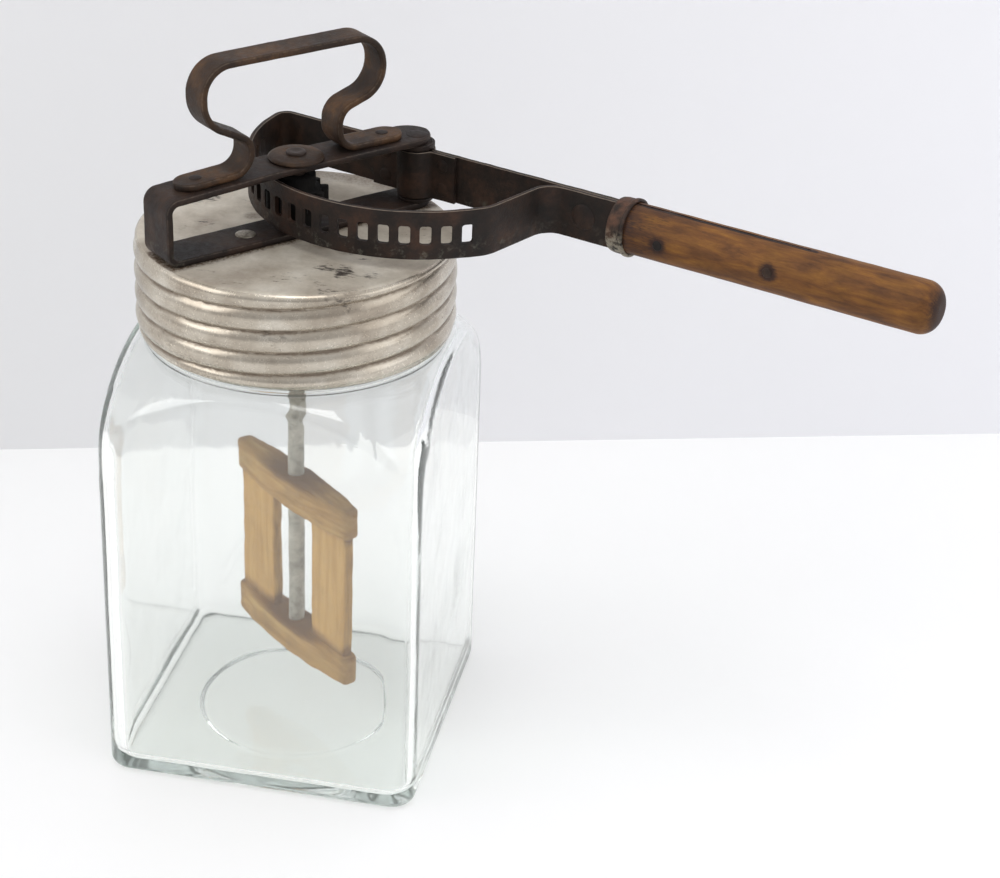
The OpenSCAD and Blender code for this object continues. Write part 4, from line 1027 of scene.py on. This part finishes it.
def makeLever(size):
    mid, reach = size["thick"] / 2, size["eyeReach"]
    arc, corner, endBend = size["arc"], size["corner"], size["endBend"]
    cornerX = -math.sqrt((arc - corner) ** 2 - (mid - corner) ** 2)
    arcFrom = 360 + degrees(math.atan2(mid - corner, cornerX))
    endCentre = polar(arc - endBend, radians(size["arcEnd"]), 0)
    rootCentre = (size["root"], size["shortSide"] - size["rootBend"])
    path = joined(straight((size["tang"], mid), (reach, mid)),
                  eyeRun(1, mid, size["eyeBend"], size["eye"], reach),
                  straight((-reach, mid), (cornerX, mid)),
                  bend((cornerX, mid - corner), corner, 90, arcFrom % 360),
                  bend((0, 0), arc, arcFrom % 360, size["arcEnd"], 0.9),
                  bend(endCentre, endBend, size["arcEnd"], size["back"] + 270),
                  bend(rootCentre, size["rootBend"], size["back"] + 90, 90),
                  straight((size["root"], size["shortSide"]), (size["shortLeg"], size["shortSide"])))

    def lowCrust(x, y, up):
        amount = size["frontCrust"] if y < size["frontFrom"] else size["sideCrust"]
        return ramp(-up - size["crustFrom"], size["crustOver"]) * amount

    return strapAlong("leverStrap", path, size, onLever, crust=lowCrust, rubbing=topRubbed)


def slotTree():
    # punches stand along the arc at an even step and are taken out of the strap
    tree, given = treeFor("arcSlots", Object=["Punch"], Int=["Count"], Float=("Step", "First", "Radius"),
                          Vector=["Centre"])
    punch = add(tree, "GeometryNodeObjectInfo", {"Object": given["Punch"]}).outputs["Geometry"]
    index = add(tree, "GeometryNodeInputIndex")
    turn = add(tree, "ShaderNodeMath", {0: index, 1: given["Step"]}, operation="MULTIPLY")
    turn = add(tree, "ShaderNodeMath", {0: given["First"], 1: turn}, operation="SUBTRACT")
    x = add(tree, "ShaderNodeMath", {0: turn}, operation="COSINE")
    y = add(tree, "ShaderNodeMath", {0: turn}, operation="SINE")
    place = add(tree, "ShaderNodeCombineXYZ", {"X": x, "Y": y})
    place = add(tree, "ShaderNodeVectorMath", {0: place, "Scale": given["Radius"]}, operation="SCALE")
    place = add(tree, "ShaderNodeVectorMath", {0: place, 1: given["Centre"]}, operation="ADD")
    points = add(tree, "GeometryNodePoints", {"Count": given["Count"], "Position": place})
    spin = add(tree, "ShaderNodeCombineXYZ", {"Z": turn})
    cutters = add(tree, "GeometryNodeInstanceOnPoints",
                  {"Points": points, "Instance": punch, "Rotation": spin})
    cutters = add(tree, "GeometryNodeRealizeInstances", {0: cutters})
    cut = add(tree, "GeometryNodeMeshBoolean", {"Mesh 1": given["Geometry"], "Mesh 2": cutters},
              operation="DIFFERENCE", solver="EXACT")
    return endTree(tree, given, cut)


def slotPunch(size):
    ring = ribbonRing(size["slotTall"] / 2, size["slotWide"], size["slotRound"], 2)
    rows = [[(x, through, across) for across, through, wear in ring] for x in (-6, 6)]
    return solidFromRows("slotPunch", rows)


leverStrap = makeLever(leverSizes)
punch = slotPunch(leverSizes)
runTree(leverStrap, slotTree(),
        {"Punch": punch, "Count": leverSizes["slots"], "Step": radians(leverSizes["slotStep"]),
         "First": radians(leverSizes["lastSlot"] + leverTurn), "Radius": leverSizes["arc"] * mm,
         "Centre": [c * mm for c in atPivot(0, 0, strapMid)], "Finish": strapMat})
bpy.data.objects.remove(punch)
settle(smooth(leverStrap), strapMat, "lever", "rusted_strap", "lever_strap")
print("lever done,", len(leverStrap.data.polygons), "faces")

saddleSizes = {"width": 21.5, "thick": 2.0, "edge": 0.5, "uneven": 0.14, "mid": 1.0, "bend": 3.0, "eye": 7.36,
               "reach": 21.0}
saddleRun = eyeRun(-1, saddleSizes["mid"], saddleSizes["bend"], saddleSizes["eye"], saddleSizes["reach"])
pivotSaddle = strapAlong("pivotSaddle", saddleRun, saddleSizes, onLever, rubbing=topRubbed)
settle(smooth(pivotSaddle), strapMat, "lever", "rusted_strap", "pivot_saddle")


# rivets

def rivetTree():
    # one hammered head on each point, along the point's own outward mark, each sized a little differently
    tree, given = treeFor("rivetHeads", Int=["Seed"], Float=("Least", "Most", "Back", "Top"))
    outward = add(tree, "GeometryNodeInputNamedAttribute", {"Name": "outward"}, data_type="FLOAT_VECTOR")
    size = add(tree, "GeometryNodeInputNamedAttribute", {"Name": "head"}, data_type="FLOAT_VECTOR")
    ball = add(tree, "GeometryNodeMeshUVSphere", {"Segments": 28, "Rings": 18, "Radius": 1.0})
    spot = add(tree, "ShaderNodeSeparateXYZ", {0: add(tree, "GeometryNodeInputPosition")}).outputs
    back = add(tree, "ShaderNodeMath", {0: spot["Z"], 1: given["Back"]}, operation="MULTIPLY")
    dome = add(tree, "ShaderNodeMath", {0: spot["Z"], 1: back}, operation="MAXIMUM")
    dome = add(tree, "ShaderNodeMath", {0: dome, 1: given["Top"]}, operation="MINIMUM")
    shape = add(tree, "ShaderNodeCombineXYZ", {"X": spot["X"], "Y": spot["Y"], "Z": dome})
    head = add(tree, "GeometryNodeSetPosition", {"Geometry": ball, "Position": shape})
    facing = add(tree, "FunctionNodeAlignRotationToVector", {"Vector": outward}, axis="Z")
    vary = add(tree, "FunctionNodeRandomValue", {2: given["Least"], 3: given["Most"], "Seed": given["Seed"]})
    size = add(tree, "ShaderNodeVectorMath", {0: size, "Scale": vary}, operation="SCALE")
    heads = add(tree, "GeometryNodeInstanceOnPoints",
                {"Points": given["Geometry"], "Instance": head, "Rotation": facing, "Scale": size})
    even = add(tree, "GeometryNodeSetShadeSmooth", {"Geometry": heads, "Shade Smooth": True})
    return endTree(tree, given, even)


rivets = rivetTree()
rivetShape = {"Least": 0.96, "Most": 1.0, "Back": 0.2, "Top": 0.93}


def rivetHeads(name, size, spots, finish, seed):
    # spots are (place, outward direction), with a rise of their own after it where it isn't the usual one
    rises = [spot[2] if len(spot) > 2 else size["rise"] for spot in spots]
    mesh = bpy.data.meshes.new(name)
    mesh.from_pydata([Vector(spot[0]) * mm for spot in spots], [], [])
    radius = size["radius"] * mm
    heads = [(radius, radius, rise * mm) for rise in rises]
    for key, values in (("outward", [spot[1] for spot in spots]), ("head", heads)):
        mark = mesh.attributes.new(key, "FLOAT_VECTOR", "POINT")
        mark.data.foreach_set("vector", [c for value in values for c in value])
    return runTree(placed(name, mesh), rivets, dict(rivetShape, Seed=seed, Finish=finish))


up, down = Vector((0, 0, 1)), Vector((0, 0, -1))
front = Vector(onLever(0, -1, 0)) - Vector(onLever(0, 0, 0))

frameRivet = {"along": (-25, 27), "top": 246.5, "low": 242.4, "radius": 4.5, "rise": 0.9, "end": 1.5}
spots = [spot for x in frameRivet["along"] for spot in
         ((onFrame(x, frameRivet["top"], 0), up),
          (onFrame(x, frameRivet["low"], 0), down, frameRivet["end"]))]
frameRivets = rivetHeads("frameRivets", frameRivet, spots, rivetMat, 5)
settle(frameRivets, rivetMat, "lid", "rivet_steel", "frame_rivets")

gripRivet = {"left": (-48.5, 276.96), "right": (43, 278.6), "tilt": 2.806, "radius": 2.8, "rise": 0.55}
tilt = radians(gripRivet["tilt"])
tiltedUp = Vector((*spun(-sin(tilt), 0, frameTurn), cos(tilt)))
spots = [(onFrame(*gripRivet["left"], 0), tiltedUp), (onFrame(*gripRivet["right"], 0), up)]
settle(rivetHeads("gripRivets", gripRivet, spots, ironMat, 8), ironMat, "lid", "rusted_iron", "grip_rivets")

saddleRivet = {"along": (-14.68, 14.68), "up": (-5.375, 5.375), "out": 2.0, "radius": 3.0, "rise": 0.4}
spots = [(onLever(x, way * saddleRivet["out"], dz), front * -way)
         for x in saddleRivet["along"] for dz in saddleRivet["up"] for way in (-1, 1)]
saddleRivets = rivetHeads("saddleRivets", saddleRivet, spots, strapMat, 3)
settle(saddleRivets, strapMat, "lever", "rusted_strap", "saddle_rivets")

legRivet = {"along": 85.52, "front": -2.15, "back": 2.0, "radius": 5.7, "rise": 0.8}
spots = [(onLever(legRivet["along"], legRivet["front"], 0), front),
         (onLever(legRivet["along"], legRivet["back"], 0), -front)]
settle(rivetHeads("rootRivet", legRivet, spots, ironMat, 4), ironMat, "lever", "rusted_strap", "root_rivet")

handleRivet = {"spots": ((125.0, 0.0), (175.0, 1.5)), "front": -9.9, "back": 11.9, "radius": 2.2, "rise": 0.6}
spots = [(onLever(x, y, dz), way) for x, dz in handleRivet["spots"]
         for y, way in ((handleRivet["front"], front), (handleRivet["back"], -front))]
handleRivets = rivetHeads("handleRivets", handleRivet, spots, ironMat, 6)
settle(handleRivets, ironMat, "lever", "rusted_strap", "handle_rivets")
print("rivets done")


# handle

handleSizes = {"from": 103.0, "to": 245.5, "radius": 11.0, "skinIn": 0.06, "round": 8.0, "endFlat": 2.2,
               "rootEase": ((0.9, 0.0), (0.2, 0.5)), "axis": 1.0, "slotEnd": 188.1, "kerf": (0.1, 1.9),
               "wobble": 0.09, "swell": 0.12, "swellLong": 41.0,
               "rootDirt": (108, 34, 0.5), "endDirt": (241.5, 3.5, 0.75), "rivetDirt": (2.6, 2.6, 0.8),
               "kerfDirt": (0.9, 0.6, 0.9)}  # dirt as (from, over, most)


def alongHandle(x, y, z):
    return onLever(z, handleSizes["axis"] + x, y)


def makeHandle(size):
    radius, start, end, nose = size["radius"] - size["skinIn"], size["from"], size["to"], size["round"]
    profile = [(0, start)] + [(radius - cut, start + on) for cut, on in size["rootEase"]]
    profile += [(radius - size["swell"] * sin((z - start) / size["swellLong"]) ** 2, z)
                for z in range(104, 238, 2)]
    profile += [(radius - nose + nose * cos(radians(a)), end - nose + nose * sin(radians(a)))
                for a in range(6, 90, 8)]
    profile += [(size["endFlat"], end), (0, end)]
    obj = turned("woodHandle", profile, alongHandle, 96, size["wobble"])
    near, far = size["kerf"]
    slit = [[onLever(x, y, u) for y, u in ((near, -20), (far, -20), (far, 20), (near, 20))]
            for x in (90, size["slotEnd"])]
    cutAway(obj, solidFromRows("slit", slit))

    def handling(p):
        along, out = spun(p.x - pivot[0], p.y - pivot[1], -leverTurn)
        out, rise = out - size["axis"], p.z - strapMid
        first, over, most = size["rootDirt"]
        dirt = [fade(along, first, over) * most]
        first, over, most = size["endDirt"]
        dirt.append(ramp(along - first, over) * most)
        first, over, most = size["rivetDirt"]
        dirt += [fade(hypot(along - x, rise - z), first, over) * most for x, z in handleRivet["spots"]]
        first, over, most = size["kerfDirt"]
        if along < size["slotEnd"] + 2:
            dirt.append(fade(abs(out), first, over) * most)
        return max(dirt)

    return marked(obj, "dirt", handling)


woodHandle = makeHandle(handleSizes)
settle(smooth(woodHandle), handleMat, "lever", "handle_wood", "wood_handle")

ferruleSizes = {"section": [(11.06, 101), (11.55, 101), (11.95, 103), (11.95, 107), (12.5, 107.2),
                            (12.5, 109), (11.06, 109)], "corner": 0.5,
                "crustTop": strapMid + 3, "crustOver": 6.0}
ferruleRing = ringSolid("ferruleRing", ferruleSizes["section"], alongHandle, 80, ferruleSizes["corner"])
marked(ferruleRing, "crust", lambda p: ramp(ferruleSizes["crustTop"] - p.z, ferruleSizes["crustOver"]))
settle(smooth(ferruleRing), ferruleMat, "lever", "rusted_strap", "ferrule")
print("handle done")


# dasher

rodSizes = {"radius": 3.65, "low": 38.0, "high": 277.8, "point": 3.2, "drawMark": 0.02, "wobble": 0.03,
            "head": [(4.3, 277.9), (4.35, 278.2), (4.1, 278.8), (3.4, 279.1), (2.4, 279.0), (1.4, 278.7),
                     (0, 278.6)]}


def rodProfile(rod):
    profile = [(0, rod["low"]), (rod["point"], rod["low"]), (rod["radius"], rod["low"] + 0.6)]
    profile += [(rod["radius"] - rod["drawMark"] * (i % 3), 40 + 4 * i) for i in range(59)]
    return profile + [(rod["radius"], rod["high"])] + rod["head"]


dasherRod = turned("dasherRod", rodProfile(rodSizes), asIs, 48, rodSizes["wobble"])
settle(smooth(dasherRod), rodMat, "dasher", "galvanised_steel", "dasher_rod")

discSizes = {"section": [(3.7, 275.9), (11.9, 275.9), (12.0, 276.5), (11.2, 277.4), (7.6, 277.9),
                         (3.7, 277.9)], "corner": 0.6}
topWasher = ringSolid("topWasher", discSizes["section"], asIs, 80, discSizes["corner"])
settle(smooth(topWasher), gripMat, "dasher", "rusted_iron", "top_disc")

collarSizes = {"inside": 3.7, "outside": 8.0, "low": 231.6, "high": 239.6, "corner": 0.7}
thrustCollar = band("thrustCollar", collarSizes, asIs, 64)
settle(smooth(thrustCollar), plainMat, "dasher", "plain_steel", "thrust_collar")


def bevelledCopy(name, node, width):
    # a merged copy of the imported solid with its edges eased
    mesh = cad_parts[node].data.copy()
    bm = bmesh.new()
    bm.from_mesh(mesh)
    bmesh.ops.remove_doubles(bm, verts=bm.verts, dist=1e-6)
    bmesh.ops.dissolve_limit(bm, angle_limit=radians(1), verts=bm.verts, edges=bm.edges)
    bm.to_mesh(mesh)
    bm.free()
    mesh.materials.clear()
    obj = placed(name, mesh)
    ease = obj.modifiers.new("ease", "BEVEL")
    ease.width, ease.segments, ease.limit_method, ease.angle_limit = width * mm, 2, "ANGLE", radians(40)
    return plainMesh(obj)


easedEdge = 0.3
pinionGear = bevelledCopy("pinionGear", "pinion", easedEdge)
settle(smooth(pinionGear), shadedPinionMat, "dasher", "plain_steel", "pinion")
crossPins = bevelledCopy("crossPins", "rod_pins", easedEdge)
settle(smooth(crossPins), plainMat, "dasher", "plain_steel", "rod_pins")

paddleSizes = {"half": 43.5, "mid": 15.5, "end": 7.0, "rise": 15.0, "low": 35.0, "high": 111.0, "edge": 1.7,
               "endRound": 2.2, "slatFrom": 14.5, "slatTo": 41.0, "slatLow": 44.2, "slatHigh": 116.9,
               "slatThick": 5.0, "slatEdge": 1.2, "worn": 0.35, "slatWorn": 0.7}


def wornWood(x, y, z, worn):
    at = Vector((x, y, z))
    return worn * (noise.noise(at / 9) + 0.5 * noise.noise(at / 3 + Vector((5, 1, 7))) - 0.6)


def makeRail(name, size, low):
    # thick in the middle and thin at the ends, with both faces on an arc
    taper, nose = size["mid"] - size["end"], size["endRound"]
    arc = (size["half"] ** 2 + (taper / 2) ** 2) / taper
    tip = [(size["half"] - nose * (1 - sin(radians(a))), nose * (1 - cos(radians(a))))
           for a in range(90, -1, -15)]
    places = tip + [(i * 1.1, 0.0) for i in range(37, -38, -1)] + [(-x, cut) for x, cut in reversed(tip)]
    rows = []
    for x, cut in places:
        thick = size["mid"] - 2 * (arc - math.sqrt(arc * arc - x * x)) - 2 * cut
        row = []
        for across, through, wear in ribbonRing(size["rise"] / 2 - cut, thick, size["edge"], 8, 6):
            worn = wornWood(x, through, low + across, size["worn"])
            shrink = 1 + worn / max(abs(across), abs(through), 3.0)
            row.append(onPaddle(x, through * shrink, low + size["rise"] / 2 + across * shrink))
        rows.append(row)
    return solidFromRows(name, rows)


def makeSlat(name, size, way):
    mid, wide = way * (size["slatFrom"] + size["slatTo"]) / 2, size["slatTo"] - size["slatFrom"]
    rows = []
    for i in range(68):
        z = size["slatLow"] + (size["slatHigh"] - size["slatLow"]) * i / 67
        row = []
        for across, through, wear in ribbonRing(wide / 2, size["slatThick"], size["slatEdge"], 12, 2):
            grow = wornWood(across, through * 3, z, size["worn"] * size["slatWorn"])
            side = 0.9 * (grow if across > 0 else -grow) if wear > 0 else 0.0
            row.append(onPaddle(mid + across + side, through * (1 + grow / size["slatThick"]), z))
        rows.append(row)
    return solidFromRows(name, rows)


# the joints' dirt is (height, over, most)
paddleDirt = {"faceFrom": 3.2, "faceOver": 2.4, "face": 0.16, "byRod": 0.8, "byRodOver": 26.0,
              "allOver": 0.12, "ends": 0.3, "endsOver": 5.0, "lowJoint": (50.0, 6.0, 0.6),
              "highJoint": (111.0, 5.0, 0.45), "edges": 0.45, "edgesOver": 1.6}


def railDirt(top):
    # dirt sits on the upper face, most of it by the rod, and some on the ends
    def rule(p):
        out = hypot(p.x, p.y)
        face = paddleDirt["face"] + paddleDirt["byRod"] * fade(out, 0, paddleDirt["byRodOver"])
        ends = paddleDirt["ends"] * fade(paddleSizes["half"] - out, 0, paddleDirt["endsOver"])
        upper = ramp(p.z - top + paddleDirt["faceFrom"], paddleDirt["faceOver"])
        return upper * face + paddleDirt["allOver"] + ends
    return rule


def slatDirt(p):
    # dirt where the slat enters a rail, and along its long edges
    across = abs(spun(p.x, p.y, -paddleTurn)[0])
    edge = min(across - paddleSizes["slatFrom"], paddleSizes["slatTo"] - across)
    joints = sum(most * fade(abs(p.z - height), 0, over)
                 for height, over, most in (paddleDirt["lowJoint"], paddleDirt["highJoint"]))
    return joints + paddleDirt["edges"] * fade(edge, 0, paddleDirt["edgesOver"])


for name, node, level in (("topRail", "top_rail", "high"), ("bottomRail", "bottom_rail", "low")):
    low = paddleSizes[level]
    rail = marked(makeRail(name, paddleSizes, low), "dirt", railDirt(low + paddleSizes["rise"]))
    settle(smooth(rail, 50), railMat, "dasher", "paddle_wood", node)
for name, node, way in (("leftSlat", "left_slat", -1), ("rightSlat", "right_slat", 1)):
    slat = marked(makeSlat(name, paddleSizes, way), "dirt", slatDirt)
    settle(smooth(slat, 50), slatMat, "dasher", "paddle_wood", node)
print("dasher done")


# floor, wall, light and camera

# each sheet's two tones are painted light, darker on the left and paler on the right
stageLook = {"floor": {"tones": ("#e4e4e4", "#efefef"), "eye": 0.2, "through": 0.3, "mirrored": 0.2},
             "wall": {"tones": ("#e4e4e5", "#f5f5fa"), "eye": 0.1, "through": 0.1, "mirrored": 0.1},
             "paintedLightSpan": (-0.3, 0.5), "wallFrom": (-227.4, 200.1), "wallTo": (320.3, 367.9), "wallOn": 2600,
             "wallTop": 2200, "reach": 4000, "drop": -0.3}


def stageFinish(name, look):
    # plain paper, with painted light making it paler to the right; a small glow to the eye keeps it pale, and
    # shadows still fall on it
    mat, tree = emptyFinish(name)
    where = add(tree, "ShaderNodeTexCoord").outputs["Object"]
    across = add(tree, "ShaderNodeSeparateXYZ", {0: where}).outputs["X"]
    left, right = stageLook["paintedLightSpan"]
    across = add(tree, "ShaderNodeMapRange", {"Value": across, "From Min": left, "From Max": right})
    tone = add(tree, "ShaderNodeValToRGB", {"Fac": across}, zip((0.0, 1.0), look["tones"]))
    paper = add(tree, "ShaderNodeBsdfDiffuse", {"Color": tone})
    ray = add(tree, "ShaderNodeLightPath").outputs
    glow = 0.0
    for kind, key in (("Is Camera Ray", "eye"), ("Is Transmission Ray", "through"),
                      ("Is Glossy Ray", "mirrored")):
        glow = add(tree, "ShaderNodeMath", {0: ray[kind], 1: look[key], 2: glow}, operation="MULTIPLY_ADD")
    glow = add(tree, "ShaderNodeEmission", {"Color": tone, "Strength": glow})
    both = add(tree, "ShaderNodeAddShader", {0: paper, 1: glow})
    behind = add(tree, "ShaderNodeNewGeometry").outputs["Backfacing"]
    clear = add(tree, "ShaderNodeBsdfTransparent")
    done = add(tree, "ShaderNodeMixShader", {0: behind, 1: both, 2: clear})
    add(tree, "ShaderNodeOutputMaterial", {"Surface": done})
    return mat


def flatSheet(name, corners, finish):
    mesh = bpy.data.meshes.new(name)
    mesh.from_pydata([Vector(c) * mm for c in corners], [], [(0, 1, 2, 3)])
    mesh.materials.append(finish)
    placed(name, mesh)


reach, drop, wallTop = stageLook["reach"], stageLook["drop"], stageLook["wallTop"]
corners = ((-reach, -reach), (reach, -reach), (reach, reach), (-reach, reach))
flatSheet("floor", [(x, y, drop) for x, y in corners], stageFinish("white paper", stageLook["floor"]))
wallFrom, wallTo = Vector(stageLook["wallFrom"]), Vector(stageLook["wallTo"])
wallOn = (wallTo - wallFrom).normalized() * stageLook["wallOn"]
wallFrom, wallTo = wallFrom - wallOn, wallTo + wallOn
flatSheet("wall", [(*wallFrom, drop), (*wallTo, drop), (*wallTo, wallTop), (*wallFrom, wallTop)],
          stageFinish("pale wall board", stageLook["wall"]))

lightLook = {"key": ((-1.2, -0.8, 1.0), 1.0, 8.0), "top": ((0.15, -0.35, 1.6), 0.6, 4.0),
             "fill": ((1.4, -0.3, 0.7), 1.0, 3.0)}  # place, size and power of each lamp
lampsAim = Vector((0.03, 0, 0.14))
for name, (place, size, power) in lightLook.items():
    lamp = bpy.data.lights.new(name, "AREA")
    lamp.size, lamp.energy = size, power
    obj = placed(name, lamp)
    obj.location = place
    obj.rotation_euler = (lampsAim - Vector(place)).to_track_quat("-Z", "Y").to_euler()

worldLook = {"tones": ("#aaaaac", "#d6d6d8", "#ececee"), "toneAt": (0.0, 0.45, 1.0), "depth": (-0.95, 0.1),
             "above": "#ebebec", "rise": (0.3, 0.85), "seen": "#ededee"}
world = bpy.data.worlds.new("studio")
world.use_nodes = True
scene.world = world
tree = world.node_tree
tree.nodes.clear()
sky = add(tree, "ShaderNodeSeparateXYZ", {0: add(tree, "ShaderNodeTexCoord").outputs["Generated"]}).outputs
near, far = worldLook["depth"]
depth = add(tree, "ShaderNodeMapRange", {"Value": sky["Y"], "From Min": near, "From Max": far})
room = add(tree, "ShaderNodeValToRGB", {"Fac": depth}, zip(worldLook["toneAt"], worldLook["tones"]))
low, high = worldLook["rise"]
rise = add(tree, "ShaderNodeMapRange", {"Value": sky["Z"], "From Min": low, "From Max": high})
room = add(tree, "ShaderNodeMix", {0: rise, 6: room, 7: hexLinear(worldLook["above"])}, data_type="RGBA")
toEye = add(tree, "ShaderNodeLightPath").outputs["Is Camera Ray"]
room = add(tree, "ShaderNodeMix", {0: toEye, 6: room, 7: hexLinear(worldLook["seen"])}, data_type="RGBA")
room = add(tree, "ShaderNodeBackground", {"Color": room, "Strength": 1.0})
add(tree, "ShaderNodeOutputWorld", {"Surface": room})

viewLook = {"focal": 2455.0, "wide": 1000.0, "sensor": 36.0, "yaw": -10.264, "pitch": 28.134, "roll": 2.293,
            "place": (260.1, -930.3, 660.2)}
yaw, pitch, roll = (radians(viewLook[key]) for key in ("yaw", "pitch", "roll"))
ahead = Vector((sin(yaw) * cos(pitch), cos(yaw) * cos(pitch), -sin(pitch)))
level = Vector((cos(yaw), -sin(yaw), 0))
below = ahead.cross(level)
imageRight = level * cos(roll) - below * sin(roll)
imageDown = level * sin(roll) + below * cos(roll)
lens = bpy.data.cameras.new("camera")
lens.sensor_fit, lens.sensor_width = "HORIZONTAL", viewLook["sensor"]
lens.lens = viewLook["focal"] / viewLook["wide"] * viewLook["sensor"]
lens.clip_start, lens.clip_end = 0.05, 50.0
pose = Matrix((imageRight, -imageDown, -ahead)).transposed().to_4x4()
pose.translation = Vector(viewLook["place"]) * mm
camera = placed("camera", lens)
camera.matrix_world = pose
scene.camera = camera
print("floor, wall, light and camera done")
